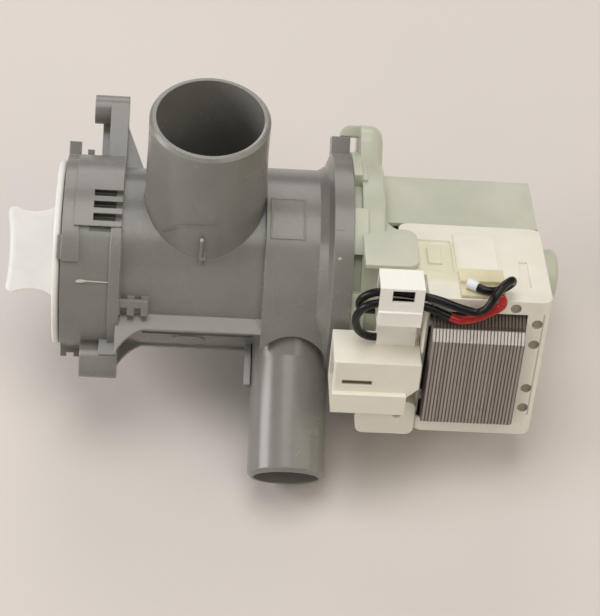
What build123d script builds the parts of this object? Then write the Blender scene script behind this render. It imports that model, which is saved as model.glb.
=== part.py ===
from build123d import *
import os
from math import atan2, cos, degrees, radians, sin, sqrt

# A washing machine drain pump with its lint filter.
# The pump axis is X, the filter cap is at -X and the motor at +X.
# Angles about the axis count up from -Y towards +Z, in degrees.
# All lengths are millimetres.

# Directions about the axis, and the pose in which the pump lies on a table
outlet_angle = -22.83
inlet_lead = 116.5
core_lead = 38.7
ear_lead = 165.1
knob_lead = 165.1
rest_tilt = 8.45

# Shared clearances
overrun = 2.0
running_gap = 0.05
slip_gap = 0.2
free_gap = 0.4

# Stations of the pump housing along the axis
collar_front = -76.0
bracket_front = -57.5
bracket_back = -53.5
eye_wall_front = -1.5
seam_station = 1.4
chamber_front = 3.0
ring_front = 27.0
spigot_front = 29.0
ring_back = 34.5

# Pump housing: collar, filter tube, volute and ring
tube_radius = 34.5
tube_wall = 2.5
tube_bore_radius = tube_radius - tube_wall
collar_rise = 3.0
collar_radius = tube_radius + collar_rise
collar_bore_rise = 1.3
collar_bore_radius = tube_bore_radius + collar_bore_rise
collar_bore_depth = 18.0
bracket_ring_rise = 1.3
bracket_ring_radius = collar_radius + bracket_ring_rise
volute_radius = 37.2
volute_wall = 3.0
volute_shoulder_rise = 4.3
volute_shoulder_half_width = 12.5
volute_shoulder_side = 30.0
eye_radius = 15.0
ring_rise = 6.8
ring_radius = volute_radius + ring_rise
ring_wall = 5.5
ring_bore_radius = ring_radius - ring_wall
ring_root_radius = 5.0
ring_root_share = 0.35
ring_root_rise_share = 0.3

# Pump housing: inlet and outlet spigots
inlet_station = -22.3
inlet_length = 42.7
inlet_reach = tube_radius + inlet_length
inlet_root_radius = 24.3
inlet_rim_radius = 22.6
inlet_bore_radius = 20.1
inlet_rim_chamfer = 1.2
inlet_land = 14.0
outlet_station = 13.9
outlet_length = 49.4
outlet_reach = volute_radius + outlet_length
outlet_root_radius = 15.3
outlet_radius = 15.0
outlet_bore_radius = 12.6
outlet_lip_chamfer = 1.4
outlet_land = 24.0
outlet_neck_radius = 18.6
outlet_neck_length = 4.8
outlet_neck_reach = volute_radius + outlet_neck_length

# Pump housing: details of the collar
skirt_depth = 6.5
skirt_rise = 0.8
skirt_first_angle = 46.0
skirt_last_angle = 152.0
tooth_width = 6.5
front_tooth_length = 4.6
front_tooth_rise = 6.1
front_tooth_reach = collar_radius + front_tooth_rise
back_tooth_offset = 7.2
back_tooth_length = 2.5
back_tooth_rise = 3.2
back_tooth_reach = collar_radius + back_tooth_rise
foot_tooth_length = 8.2
foot_tooth_rise = 3.5
foot_tooth_reach = collar_radius + foot_tooth_rise
foot_tooth_notch = 3.0
tab_rise = 1.5
tab_depth = 0.7
tab_first_angle = 47.0
tab_last_angle = 61.0

# Pump housing: comb of slots beside the bracket
comb_angle = 79.5
comb_front = -66.0
comb_width = 18.0
comb_rise = 1.9
comb_pad_first_angle = 66.5
comb_pad_last_angle = 128.0
comb_bar = 2.2
comb_slot_count = 3
comb_end_wall = 1.6
comb_slot_depth = 3.2

# Pump housing: bracket arms with their screw bosses
arm_half_width = 8.0
arm_rib = 2.0
arm_near_rib_depth = 3.2
arm_far_rib_depth = 6.4
upper_boss_rise = 22.7
upper_boss_reach = collar_radius + upper_boss_rise
upper_boss_radius = 5.8
upper_boss_front = -67.2
lower_boss_rise = 5.3
lower_boss_reach = collar_radius + lower_boss_rise
lower_boss_radius = 7.2
lower_boss_front = -68.0
screw_hole_radius = 2.1
screw_hole_depth = 11.0
gusset_thickness = 2.4
gusset_rise = 14.5
gusset_reach = collar_radius + gusset_rise
gusset_inset = 4.0
gusset_run = 7.0

# Pump housing: foot rail along the filter tube
foot_ledge_height = 19.2
foot_ledge_thickness = 2.3
foot_ledge_rise = 0.3
foot_ledge_reach = tube_radius + foot_ledge_rise
foot_pad_drop = 0.7
foot_pad_reach = tube_radius - foot_pad_drop
foot_pad_low = -8.5
foot_groove_low = 9.0
foot_groove_width = 4.6
foot_groove_depth = 2.6
foot_boss_radius = 6.8
foot_boss_height = 3.0
foot_boss_rise = 0.6
foot_boss_station = -26.2
foot_flare_station = -44.2
foot_flare_rise = 10.9
foot_flare_reach = tube_radius + foot_flare_rise
foot_flare_share = 0.3
foot_root_angle = 45.0
outlet_fin_thickness = 2.5
outlet_fin_rise = 13.8
outlet_fin_reach = volute_radius + outlet_fin_rise
outlet_fin_half_width = 3.0
outlet_fin_gap = 0.3

# Pump housing: hose clip bridge, gate pin and plate frame
bridge_angle = 21.5
bridge_length = 13.2
bridge_thickness = 3.2
bridge_rise = 3.4
bridge_post = 2.6
bridge_post_count = 3
bridge_post_drop = 3.4
gate_pin_thickness = 1.6
gate_pin_rise = 3.0
gate_pin_first_angle = 50.0
gate_pin_last_angle = 63.0
frame_first_angle = 65.0
frame_last_angle = 92.5
frame_length = 13.3
frame_line = 0.6
frame_rise = 0.35

# Bayonet between the filter cap and the collar
bayonet_lug_front = -73.4
bayonet_lug_length = 3.5
bayonet_lug_rise = 2.1
bayonet_lug_degrees = 20.0
bayonet_slot_degrees = 26.0
bayonet_turn_degrees = 62.0

# Filter cap, its knob, the strainer and the seal
cap_rim_inset = 1.3
cap_rim_radius = collar_radius - cap_rim_inset
cap_rim_thickness = 2.8
cap_rim_round = 1.2
cap_hub_radius = collar_bore_radius - free_gap
cap_hub_length = 14.5
cap_hub_wall = 2.4
knob_length = 40.0
knob_root_length = 36.0
knob_waist_length = 25.0
knob_height = 20.5
knob_thickness = 11.0
knob_root_thickness = 17.0
knob_front_dish = 2.2
knob_round = 2.6
knob_waist_share = 0.35
seal_station = -65.4
seal_section_radius = 1.3
seal_groove_depth = 2.35
seal_groove_radius = cap_hub_radius - seal_groove_depth
strainer_clearance = 5.0
strainer_radius = tube_bore_radius - strainer_clearance
strainer_wall = 1.8
strainer_back = -6.0
strainer_rib_count = 11
strainer_rib_width = 4.6
strainer_ring = 3.0
strainer_mouth_degrees = 100.0

# Impeller and its lost-motion drive
impeller_front = 6.0
impeller_back = 26.0
impeller_clearance = 12.2
impeller_radius = volute_radius - impeller_clearance
impeller_disc_thickness = 2.2
impeller_disc_back = 24.4
impeller_hub_radius = 9.2
impeller_cup_radius = 7.2
impeller_nose_length = 6.0
impeller_nose_round = 3.0
vane_count = 6
vane_thickness = 2.0
dog_degrees = 80.0
dog_root_radius = 3.3
driver_hub_radius = 2.95
driver_back = 26.8

# Rotor
shaft_radius = 2.0
shaft_front = 7.0
shaft_back = 113.0
magnet_front = 58.0
magnet_length = 42.0
magnet_radius = 10.2
carrier_core_radius = 5.6
carrier_front = 43.0
carrier_neck_radius = 4.4
carrier_flange_radius = 9.2
carrier_flange_thickness = 1.8
washer_radius = 4.3
washer_thickness = 1.0

# Bearings and shaft seal
bearing_radius = 5.0
front_bearing_front = 33.5
front_bearing_length = 7.0
rear_bearing_front = 105.6
rear_bearing_length = 7.0
rear_mount_radius = 6.6
shaft_seal_radius = 6.0
shaft_seal_front = 28.0
shaft_seal_length = 4.0
bearing_block_lip_radius = 13.6
bearing_block_lip = 1.6
bearing_block_back = 41.2
bearing_step_radius = 3.0

# Motor flange with its rotor can
flange_inset = 2.0
flange_radius = ring_radius - flange_inset
flange_plate = 3.4
flange_plate_inset = 4.4
flange_plate_radius = ring_radius - flange_plate_inset
flange_rim_back = 46.8
flange_rim_wall = 2.6
flange_rim_round = 1.2
flange_rib_count = 8
flange_rib_thickness = 1.8
can_bore_radius = 11.2
can_wall = 1.2
can_back = 104.2
rear_boss_radius = 10.4
rear_boss_back = 119.2
rear_boss_wall = 4.0
rear_boss_round = 2.5
flange_seal_section = 1.35
ear_rise = 11.6
ear_reach = ring_radius + ear_rise
ear_half_width = 12.5
ear_root_half_width = 17.0
ear_round = 9.0
ear_root_share = 0.7
ear_back_round = 5.0
ear_lip_front = 30.6
ear_lip_round = 3.4
ring_lug_rise = 6.8
ring_lug_reach = ring_radius + ring_lug_rise
ring_lug_width = 10.0
claw_count = 8
claw_degrees = 25.0
claw_first_angle = 57.0
claw_inset = 0.8
claw_radius = ring_radius - claw_inset
claw_leg_degrees = 36.0
tongue_back = 58.2
tongue_first_reach = 22.5
tongue_last_reach = 46.5
tongue_thickness = 1.8
tongue_round = 5.0
tongue_hollow = 4.2
tongue_hollow_reach = 9.0

# Motor section: stations along the axis and reach from it
stack_front = 63.4
stack_thickness = 34.4
shell_front = flange_rim_back + slip_gap
shell_back = 106.2
shell_reach = 15.575
shell_top_reach = 19.4
shell_wall = 1.8
shell_round = 5.5
shell_top_round = 1.6
cover_joint_reach = 14.2
cover_front = 52.0
cover_back = 106.9
cover_half_height = 31.5
cover_wall = 1.6
cover_corner_round = 4.0
cover_notch_front = 60.8

# Lamination stack and rivets
yoke_clearance = 23.4
yoke_reach = ring_radius + yoke_clearance
yoke_proud = 5.2
yoke_depth = 17.0
yoke_top_gap = 6.2
yoke_half_height = cover_half_height - yoke_top_gap
yoke_top_chamfer_height = 9.8
yoke_top_chamfer_depth = 7.8
yoke_foot_chamfer = 2.9
yoke_knee_share = 0.5
yoke_knee_rise = 0.9
leg_inner_height = 9.6
leg_thickness = 10.4
pole_top_gap = 7.0
pole_half_height = cover_half_height - pole_top_gap
pole_bore_radius = 12.8
lamination_count = 27
lamination_gap = 0.45
lamination_relief = 0.35
rivet_radius = 1.6
rivet_head_radius = 2.8
rivet_head_thickness = 1.0
rivet_height = 17.5
rivet_inset = 10.8

# Bobbins and windings on the two legs
bobbin_wall = 1.0
bobbin_flange = 1.4
bobbin_front_reach = 18.4
bobbin_back_gap = 4.8
bobbin_side_margin = 7.0
bobbin_top_gap = 2.5
bobbin_outer_height = cover_half_height - bobbin_top_gap
bobbin_inner_height = 1.6
winding_margin = 1.2
winding_round = 3.0

# Coil cover: details of its top and front faces
window_gap = 0.35
window_left_gap = 1.9
pocket_front = 57.8
pocket_length = 13.5
pocket_first_reach = 24.8
pocket_last_inset = 17.2
pocket_depth = 0.8
catch_length = 4.2
catch_width = 5.0
catch_rise = 0.7
pad_front = 72.4
pad_length = 16.0
pad_first_reach = 20.8
pad_last_inset = 16.4
pad_rise = 0.7
dimple_front = 96.2
dimple_length = 3.4
dimple_first_reach = 36.5
dimple_last_inset = 9.2
vent_radius = 2.05
vent_depth = 1.0
vent_side_inset = 4.8
vent_height_shares = (0.68, 0.38, -0.28, -0.58)
vent_top_inset = 3.3
vent_top_station = 93.3
foot_tab_front = 39.0
foot_tab_drop = 2.4
foot_tab_low = -cover_half_height - foot_tab_drop
foot_tab_depth = 5.0
foot_tab_round_share = 0.19
foot_tab_hole_radius = 1.7
foot_tab_hole_station = 54.4
foot_tab_hole_rise = 9.4

# Terminal block on the cover
block_front = 72.6
block_length = 16.4
block_inset = 0.8
block_width = 14.6
block_rise = 3.0
block_ledge_width = 7.0
block_ledge_rise = 1.4
terminal_width = 2.8
terminal_thickness = 0.8
terminal_drop = 5.5
terminal_pitch = 8.4
terminal_rise_share = 0.8

# Connector housing and its pins
connector_front = 28.0
connector_back = 60.6
connector_foot_back = 56.0
connector_drop = 27.5
connector_height = 22.1
connector_top = cover_half_height - connector_drop
connector_low = connector_top - connector_height
connector_proud = 5.8
connector_depth = 20.4
connector_round = 1.2
connector_band_width = 8.7
connector_band_step = 2.2
connector_wall = 1.8
connector_socket_depth = 15.0
connector_slot_front = 31.6
connector_slot_length = 11.0
connector_slot_drop = 9.0
connector_slot_width = 1.5
pin_count = 2
pin_width = 5.0
pin_thickness = 0.8
pin_length = 12.0
pin_pitch = 7.5

# Lead clip that stands on the connector housing
clip_front = 42.2
clip_length = 16.4
clip_rise = 5.6
clip_height = 17.2
clip_roof_height = cover_half_height + clip_rise
clip_floor_height = clip_roof_height - clip_height
clip_proud = 3.4
clip_depth = 11.2
clip_wall = 1.5
clip_window_front = 46.8
clip_window_length = 8.2
clip_window_drop = 6.4
clip_roof_rim = 1.0
clip_post_front = 44.0
clip_post_inset = 12.2
clip_post_depth = 6.0

# Leads between the connector and the terminal block
lead_radius = 1.55
sleeve_radius = 1.55
ferrule_radius = 1.9
ferrule_length = 4.2
lead_bend_share = 0.45

# Derived sizes
inlet_angle = outlet_angle + inlet_lead
core_angle = outlet_angle + core_lead
ear_angle = outlet_angle + ear_lead
knob_angle = outlet_angle + knob_lead
chamber_radius = volute_radius - volute_wall
can_radius = can_bore_radius + can_wall
bearing_block_radius = can_bore_radius - running_gap
stack_back = stack_front + stack_thickness
shaft_bore_radius = shaft_radius + running_gap
leg_outer_height = leg_inner_height + leg_thickness
cover_reach = yoke_reach - yoke_proud
cover_notch_depth = 14.6
cover_notch_reach = cover_reach - cover_notch_depth
rivet_reach = yoke_reach - rivet_inset
bobbin_back_reach = yoke_reach - yoke_depth - bobbin_back_gap
pocket_last_reach = cover_reach - pocket_last_inset
pad_last_reach = cover_reach - pad_last_inset
dimple_last_reach = cover_reach - dimple_last_inset
block_last_reach = cover_reach - block_inset
block_first_reach = block_last_reach - block_width
block_ledge_reach = block_last_reach - block_ledge_width
connector_last_reach = cover_reach + connector_proud
clip_last_reach = cover_reach + clip_proud
clip_first_reach = clip_last_reach - clip_depth
clip_post_first_reach = cover_reach - clip_post_inset
clip_post_last_reach = clip_post_first_reach + clip_post_depth
magnet_back = magnet_front + magnet_length
low = (Align.CENTER, Align.CENTER, Align.MIN)


def direction(angle):
    return Vector(0, -cos(radians(angle)), sin(radians(angle)))


def radial_plane(station, angle):
    # local x along the axis, local y towards larger angles, local z outwards
    return Plane(origin=(station, 0, 0), x_dir=(1, 0, 0), z_dir=direction(angle))


def axis_plane(station):
    return Plane(origin=(station, 0, 0), x_dir=(0, 1, 0), z_dir=(1, 0, 0))


def disc(first, last, radius):
    return axis_plane(first) * Cylinder(radius, last - first, align=low)


def tube(first, last, outer, inner):
    hole = disc(first - overrun, last + overrun, inner)
    return disc(first, last, outer) - hole


def turned(points):
    # revolves an outline of (station, radius) points about the axis
    return revolve(make_face(Polyline(*points, close=True)), Axis.X, 360)


def sector(first, last, inner, outer, start_angle, end_angle):
    # part of a ring between two angles
    start = Plane(
        origin=(0, 0, 0),
        x_dir=(1, 0, 0),
        z_dir=(0, -sin(radians(start_angle)), -cos(radians(start_angle))),
    )
    points = [(first, inner), (last, inner), (last, outer), (first, outer)]
    outline = make_face(Polyline(*points, close=True))
    turn_axis = Axis((0, 0, 0), (-1, 0, 0))
    return revolve(start * outline, turn_axis, end_angle - start_angle)


def block(angle, x_span, y_span, z_span):
    # a box given by its spans along the axis, across and outwards
    sizes = [span[1] - span[0] for span in (x_span, y_span, z_span)]
    middle = [(span[1] + span[0]) / 2 for span in (x_span, y_span, z_span)]
    return radial_plane(0, angle) * Pos(*middle) * Box(*sizes)


def side_prism(angle, points, first, last):
    # an outline of (across, outwards) points, extruded along the axis
    base = radial_plane(first, angle)
    side = Plane(origin=base.origin, x_dir=base.y_dir, z_dir=(1, 0, 0))
    return extrude(side * make_face(Polyline(*points, close=True)), last - first)


def face_prism(angle, points, low_height, high_height):
    # an outline of (station, outwards) points, extruded across
    base = radial_plane(0, angle)
    origin = base.origin + base.y_dir * high_height
    side = Plane(origin=origin, x_dir=(1, 0, 0), z_dir=-base.y_dir)
    return extrude(side * make_face(Polyline(*points, close=True)), high_height - low_height)


def place(solid):
    # lays the pump down: the motor end dips by the rest tilt
    return Rot(0, rest_tilt, 0) * solid


def taper(station, angle, reach, root_radius, tip_radius):
    plane = radial_plane(station, angle)
    return plane * Cone(root_radius, tip_radius, reach, align=low)


def spigot(station, angle, reach, land, radii):
    # a tapered tube with a straight land for the hose at its end
    root_radius, tip_radius = radii
    body = taper(station, angle, reach - land, root_radius, tip_radius)
    return body + bore(station, angle, reach - land, reach, tip_radius)


def bore(station, angle, first, last, radius):
    plane = radial_plane(station, angle)
    return plane * Pos(0, 0, first) * Cylinder(radius, last - first, align=low)


def housing_volute():
    # drum with two shoulders beside the outlet, and a conical neck between them
    body = disc(seam_station, ring_front + overrun, volute_radius)
    reach, half = volute_radius + volute_shoulder_rise, volute_shoulder_half_width
    span = sqrt(reach**2 + half**2)
    touch = degrees(atan2(half, reach)) + degrees(atan2(sqrt(span**2 - volute_radius**2), volute_radius))
    side = volute_radius * sin(radians(touch))
    depth = volute_radius * cos(radians(touch))
    points = [(-side, depth), (-half, reach), (half, reach), (side, depth)]
    shoulder = side_prism(outlet_angle, points, seam_station, ring_front)
    shoulder_reach = volute_radius * cos(radians(volute_shoulder_side))
    clear = bore(outlet_station, outlet_angle, shoulder_reach, outlet_reach,
                 outlet_neck_radius)
    neck = taper(outlet_station, outlet_angle, outlet_neck_reach, outlet_neck_radius + overrun,
                 outlet_radius)
    neck &= disc(seam_station, ring_front + overrun, outlet_reach)
    return body + (shoulder - clear) + neck


def housing_ring():
    root = volute_radius
    points = [
        (ring_front - ring_root_radius, root - overrun),
        (ring_front - ring_root_radius, root),
        (ring_front - ring_root_radius * ring_root_share,
         root + (ring_radius - root) * ring_root_rise_share),
        (ring_front, ring_radius),
        (ring_back, ring_radius),
        (ring_back, root - overrun),
    ]
    lug = block(ear_angle, (ring_front, ring_back - slip_gap),
                (-ring_lug_width / 2, ring_lug_width / 2), (volute_radius, ring_lug_reach))
    return turned(points) + lug


def housing_collar():
    body = disc(collar_front, bracket_back, collar_radius)
    body += disc(bracket_front, bracket_back, bracket_ring_radius)
    skirt_back = collar_front + skirt_depth
    skirt = sector(collar_front, skirt_back, tube_radius, collar_radius + skirt_rise,
                   skirt_first_angle, skirt_last_angle)
    tab = sector(collar_front - tab_rise, collar_front + overrun, collar_radius - tab_depth,
                 collar_radius, tab_first_angle, tab_last_angle)
    half = tooth_width / 2
    back_tooth = collar_front + back_tooth_offset
    teeth = block(ear_angle, (collar_front, collar_front + front_tooth_length), (-half, half),
                  (tube_radius, front_tooth_reach))
    teeth += block(ear_angle, (back_tooth, back_tooth + back_tooth_length), (-half, half),
                   (tube_radius, back_tooth_reach))
    foot = block(ear_angle - 180, (collar_front, collar_front + foot_tooth_length), (-half, half),
                 (tube_radius, foot_tooth_reach))
    notch_front = collar_front + foot_tooth_length - 2 * foot_tooth_notch
    foot -= block(ear_angle - 180, (notch_front, notch_front + foot_tooth_notch),
                  (-tooth_width, tooth_width),
                  (foot_tooth_reach - foot_tooth_notch / 2, foot_tooth_reach + overrun))
    return body + skirt + tab + teeth + foot


def housing_comb():
    # a raised pad beside the bracket
    return sector(collar_front + skirt_depth - overrun, bracket_back, tube_radius,
                  collar_radius + comb_rise, comb_pad_first_angle, comb_pad_last_angle)


def comb_slots():
    # slots cut in the pad from outside, open at their back
    half = comb_width / 2
    reach = collar_radius + comb_rise
    pitch = (comb_width - comb_bar) / comb_slot_count
    cut = Part()
    for index in range(comb_slot_count):
        start = -half + comb_bar + index * pitch
        cut += block(comb_angle, (comb_front + comb_end_wall, bracket_back + slip_gap),
                     (start, start + pitch - comb_bar), (reach - comb_slot_depth, reach + overrun))
    return cut


def screw_boss(angle, front, reach, radius, near):
    # a boss along the axis at the end of an arm, with its two ribs and a gusset
    centre = radial_plane(front, angle) * Pos(0, 0, reach)
    boss = Plane(origin=centre.position, z_dir=(1, 0, 0)) * Cylinder(
        radius, bracket_back - front, align=low)
    half = arm_half_width
    arm = block(angle, (bracket_front, bracket_back), (-half, half), (tube_radius, reach))
    ribs = Part()
    for side, depth in ((near, arm_near_rib_depth), (-near, arm_far_rib_depth)):
        middle = side * (half - arm_rib / 2)
        ribs += block(angle, (bracket_front - depth, bracket_front),
                      (middle - arm_rib / 2, middle + arm_rib / 2), (tube_radius, reach))
    hole = Plane(origin=centre.position, z_dir=(1, 0, 0)) * Pos(0, 0, -overrun) * Cylinder(
        screw_hole_radius, screw_hole_depth + overrun, align=low)
    return boss + arm + ribs - hole


def housing_bracket():
    upper = screw_boss(outlet_angle + 180, upper_boss_front, upper_boss_reach,
                       upper_boss_radius, -1)
    lower = screw_boss(outlet_angle, lower_boss_front, lower_boss_reach,
                       lower_boss_radius, 1)
    points = [
        (bracket_back, gusset_reach),
        (bracket_back + gusset_run, tube_radius),
        (bracket_back, tube_radius - overrun),
        (bracket_back - overrun, tube_radius),
    ]
    edge = gusset_inset - arm_half_width
    gusset = face_prism(outlet_angle + 180, points, edge, edge + gusset_thickness)
    return upper + lower + gusset


def foot_outline(first_reach):
    # the ledge flares out to the bracket through a hollow curve
    flare = foot_flare_reach - foot_ledge_reach
    corner = (foot_flare_station, foot_ledge_reach)
    end = (bracket_back - overrun / 2, foot_flare_reach)
    bend = ((corner[0] + end[0]) / 2, foot_ledge_reach + flare * foot_flare_share)
    edge = ThreePointArc(corner, bend, end)
    rest = Polyline(end, (end[0], first_reach), (seam_station, first_reach),
                    (seam_station, foot_ledge_reach), corner)
    return make_face(edge + rest)


def foot_plate(high, first_reach):
    base = radial_plane(0, outlet_angle)
    side = Plane(origin=base.origin + base.y_dir * high, x_dir=(1, 0, 0), z_dir=-base.y_dir)
    return extrude(side * foot_outline(first_reach), foot_ledge_thickness)


def housing_foot():
    inner = tube_radius * cos(radians(foot_root_angle))
    rail = foot_plate(foot_ledge_height, inner)
    rail += foot_plate(foot_pad_low + foot_ledge_thickness, inner)
    rail += block(outlet_angle, (bracket_back - overrun, seam_station),
                  (foot_pad_low, foot_ledge_height - foot_ledge_thickness / 2),
                  (inner, foot_pad_reach))
    pad = radial_plane(foot_boss_station, outlet_angle) * Pos(0, foot_boss_height, inner)
    rail += pad * Cylinder(foot_boss_radius, foot_pad_reach + foot_boss_rise - inner, align=low)
    fin_back = outlet_station - outlet_radius - outlet_fin_gap
    groove_high = foot_groove_low + foot_groove_width
    rail -= block(outlet_angle, (foot_flare_station, seam_station - outlet_fin_thickness),
                  (foot_groove_low, groove_high), (inner, foot_ledge_reach + overrun))
    half = outlet_fin_half_width
    rail += block(outlet_angle, (fin_back - outlet_fin_thickness, fin_back), (-half, half),
                  (inner, outlet_fin_reach))
    return rail


def housing_trim():
    # hose clip bridge, gate pin and the empty plate frame on the volute
    half = bridge_thickness / 2
    front = bracket_back - overrun
    top = tube_radius + bridge_rise
    body = block(bridge_angle, (front, front + bridge_length), (-half, half), (top - half, top))
    step = (bridge_length - bridge_post) / (bridge_post_count - 1)
    for index in range(bridge_post_count):
        start = front + index * step
        body += block(bridge_angle, (start, start + bridge_post), (-half - bridge_post_drop, half),
                      (tube_radius - overrun, top))
    pin_half = gate_pin_thickness / 2
    body += sector(inlet_station - pin_half, inlet_station + pin_half, tube_radius - overrun,
                   tube_radius + gate_pin_rise, gate_pin_first_angle, gate_pin_last_angle)
    frame_back = chamber_front + frame_length
    frame = sector(chamber_front, frame_back, chamber_radius + overrun / 2,
                   volute_radius + frame_rise, frame_first_angle, frame_last_angle)
    line = degrees(frame_line / volute_radius)
    frame -= sector(chamber_front + frame_line, frame_back - frame_line, chamber_radius,
                    volute_radius + overrun, frame_first_angle + line, frame_last_angle - line)
    return body + frame


def housing_bores():
    cut = disc(collar_front - overrun, collar_front + collar_bore_depth, collar_bore_radius)
    cut += disc(collar_front, eye_wall_front, tube_bore_radius)
    cut += disc(eye_wall_front - overrun, chamber_front + overrun, eye_radius)
    cut += disc(chamber_front, ring_front + overrun, chamber_radius)
    cut += disc(spigot_front, ring_back + overrun, ring_bore_radius)
    cut += bore(inlet_station, inlet_angle, 0, inlet_reach + overrun, inlet_bore_radius)
    cut += bore(outlet_station, outlet_angle, chamber_radius / 2, outlet_reach + overrun,
                outlet_bore_radius)
    lug_rise = bayonet_lug_rise + free_gap
    groove_front = bayonet_lug_front - free_gap
    groove_back = bayonet_lug_front + bayonet_lug_length + free_gap
    half = bayonet_slot_degrees / 2
    for start in (knob_angle, knob_angle + 180):
        cut += sector(collar_front - overrun, groove_back, tube_bore_radius,
                      cap_hub_radius + lug_rise, start - half, start + half)
        cut += sector(groove_front, groove_back, tube_bore_radius, cap_hub_radius + lug_rise,
                      start - half, start + half + bayonet_turn_degrees)
    groove_high = foot_groove_low + foot_groove_width
    cut += block(outlet_angle, (foot_flare_station, seam_station - outlet_fin_thickness),
                 (foot_groove_low, groove_high), (tube_radius - foot_groove_depth, foot_ledge_reach))
    return cut + comb_slots()


def pump_housing():
    inlet = spigot(inlet_station, inlet_angle, inlet_reach, inlet_land,
                   (inlet_root_radius, inlet_rim_radius))
    inlet = chamfer(inlet.edges().group_by(Axis((0, 0, 0), direction(inlet_angle)))[-1],
                    inlet_rim_chamfer)
    outlet = spigot(outlet_station, outlet_angle, outlet_reach, outlet_land,
                    (outlet_root_radius, outlet_radius))
    outlet = chamfer(outlet.edges().group_by(Axis((0, 0, 0), direction(outlet_angle)))[-1],
                     outlet_lip_chamfer)
    body = disc(bracket_back - overrun, seam_station + overrun, tube_radius)
    body += housing_volute()
    body += housing_ring()
    body += housing_collar()
    body += housing_bracket()
    body += housing_foot()
    body += housing_trim()
    body += housing_comb()
    body += inlet
    body += outlet
    return body - housing_bores()


def filter_cap():
    rim_front = collar_front - free_gap - cap_rim_thickness
    rim_back = rim_front + cap_rim_thickness
    hub_back = collar_front + cap_hub_length
    rim = disc(rim_front, rim_back, cap_rim_radius)
    rim = fillet(rim.edges(), cap_rim_round)
    hub = tube(rim_back - cap_rim_round, hub_back, cap_hub_radius, cap_hub_radius - cap_hub_wall)
    web = disc(rim_back - cap_rim_round, rim_back + cap_hub_wall, cap_hub_radius)
    groove_half = seal_section_radius + slip_gap
    hub += tube(seal_station - 2 * groove_half, hub_back, cap_hub_radius,
                seal_groove_radius - cap_hub_wall)
    hub -= tube(seal_station - groove_half, seal_station + groove_half,
                cap_hub_radius + overrun, seal_groove_radius)
    lug_back = bayonet_lug_front + bayonet_lug_length
    half = bayonet_lug_degrees / 2
    lugs = Part()
    for start in (knob_angle, knob_angle + 180):
        lugs += sector(bayonet_lug_front, lug_back, cap_hub_radius - cap_hub_wall / 2,
                       cap_hub_radius + bayonet_lug_rise, start - half, start + half)
    return rim + hub + web + lugs + knob(rim_front)


def knob(rim_front):
    # a waisted grip bar, thicker at its root, dished along its front edge
    tip = rim_front - knob_height
    half, root, waist = knob_length / 2, knob_root_length / 2, knob_waist_length / 2
    middle = (tip + rim_front) / 2
    base = radial_plane(0, knob_angle)
    origin = base.origin + base.y_dir * knob_root_thickness / 2
    side = Plane(origin=origin, x_dir=(1, 0, 0), z_dir=-base.y_dir)
    neck = waist + (half - waist) * knob_waist_share
    upper = ThreePointArc((tip, half), (middle, neck), (rim_front, root))
    lower = ThreePointArc((rim_front, -root), (middle, -neck), (tip, -half))
    front = ThreePointArc((tip, -half), (tip + knob_front_dish, 0), (tip, half))
    back = Line((rim_front, root), (rim_front, -root))
    bar = extrude(side * make_face(upper + back + lower + front), knob_root_thickness)
    thin, thick = knob_thickness / 2, knob_root_thickness / 2
    points = [(rim_front, -thick), (tip, -thin), (tip, thin), (rim_front, thick)]
    outline = Plane(origin=base.z_dir * -half * 2, x_dir=(1, 0, 0), z_dir=base.z_dir)
    wedge = extrude(outline * make_face(Polyline(*points, close=True)), half * 4)
    grip = bar & wedge
    front_edges = grip.edges().filter_by_position(Axis.X, tip - knob_round, tip + knob_front_dish)
    return fillet(front_edges, knob_round)


def filter_strainer():
    # a cage with two rows of windows and one mouth towards the inlet
    front = collar_front + cap_hub_length
    inner = strainer_radius - strainer_wall
    body = tube(front, strainer_back, strainer_radius, inner)
    body += tube(front - strainer_ring, front + overrun, seal_groove_radius - cap_hub_wall, inner)
    half = strainer_mouth_degrees / 2
    first, last = inlet_angle + half, inlet_angle - half + 360
    width = degrees(strainer_rib_width / strainer_radius)
    step = (last - first - width) / (strainer_rib_count - 1)
    middle = (front + strainer_back) / 2
    rows = [(front + strainer_ring, middle - strainer_ring / 2),
            (middle + strainer_ring / 2, strainer_back - strainer_ring)]
    outside = strainer_radius + overrun
    body -= sector(rows[0][0], rows[1][1], inner - overrun, outside, inlet_angle - half,
                   inlet_angle + half)
    for index in range(strainer_rib_count - 1):
        start = first + index * step
        for row in rows:
            body -= sector(row[0], row[1], inner - overrun, outside, start + width, start + step)
    return body


def ring_seal(station, section, inner):
    profile = Plane.XY * Pos(station, inner + section) * Circle(section)
    return revolve(profile, Axis.X, 360)


def impeller():
    nose = disc(impeller_front, impeller_front + impeller_nose_length, impeller_hub_radius)
    nose = fillet(nose.edges().group_by(Axis.X)[0], impeller_nose_round)
    cup = tube(impeller_front + impeller_nose_length - impeller_nose_round, impeller_back,
               impeller_hub_radius, impeller_cup_radius)
    body = nose + cup
    body += disc(impeller_front + impeller_nose_length - impeller_nose_round,
                 impeller_front + impeller_nose_length, impeller_hub_radius)
    disc_front = impeller_disc_back - impeller_disc_thickness
    body += tube(disc_front, impeller_disc_back, impeller_radius, impeller_cup_radius)
    vane = block(0, (impeller_front, impeller_disc_back), (-vane_thickness / 2, vane_thickness / 2),
                 (impeller_cup_radius, impeller_radius))
    for index in range(vane_count):
        body += Rot(index * 360 / vane_count, 0, 0) * vane
    half = dog_degrees / 2
    dog_front = impeller_front + impeller_nose_length - running_gap
    body += sector(dog_front, impeller_back - 2 * free_gap, dog_root_radius,
                   impeller_cup_radius + running_gap, 180 - half, 180 + half)
    return body - disc(impeller_front - overrun, impeller_back, shaft_bore_radius)


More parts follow.
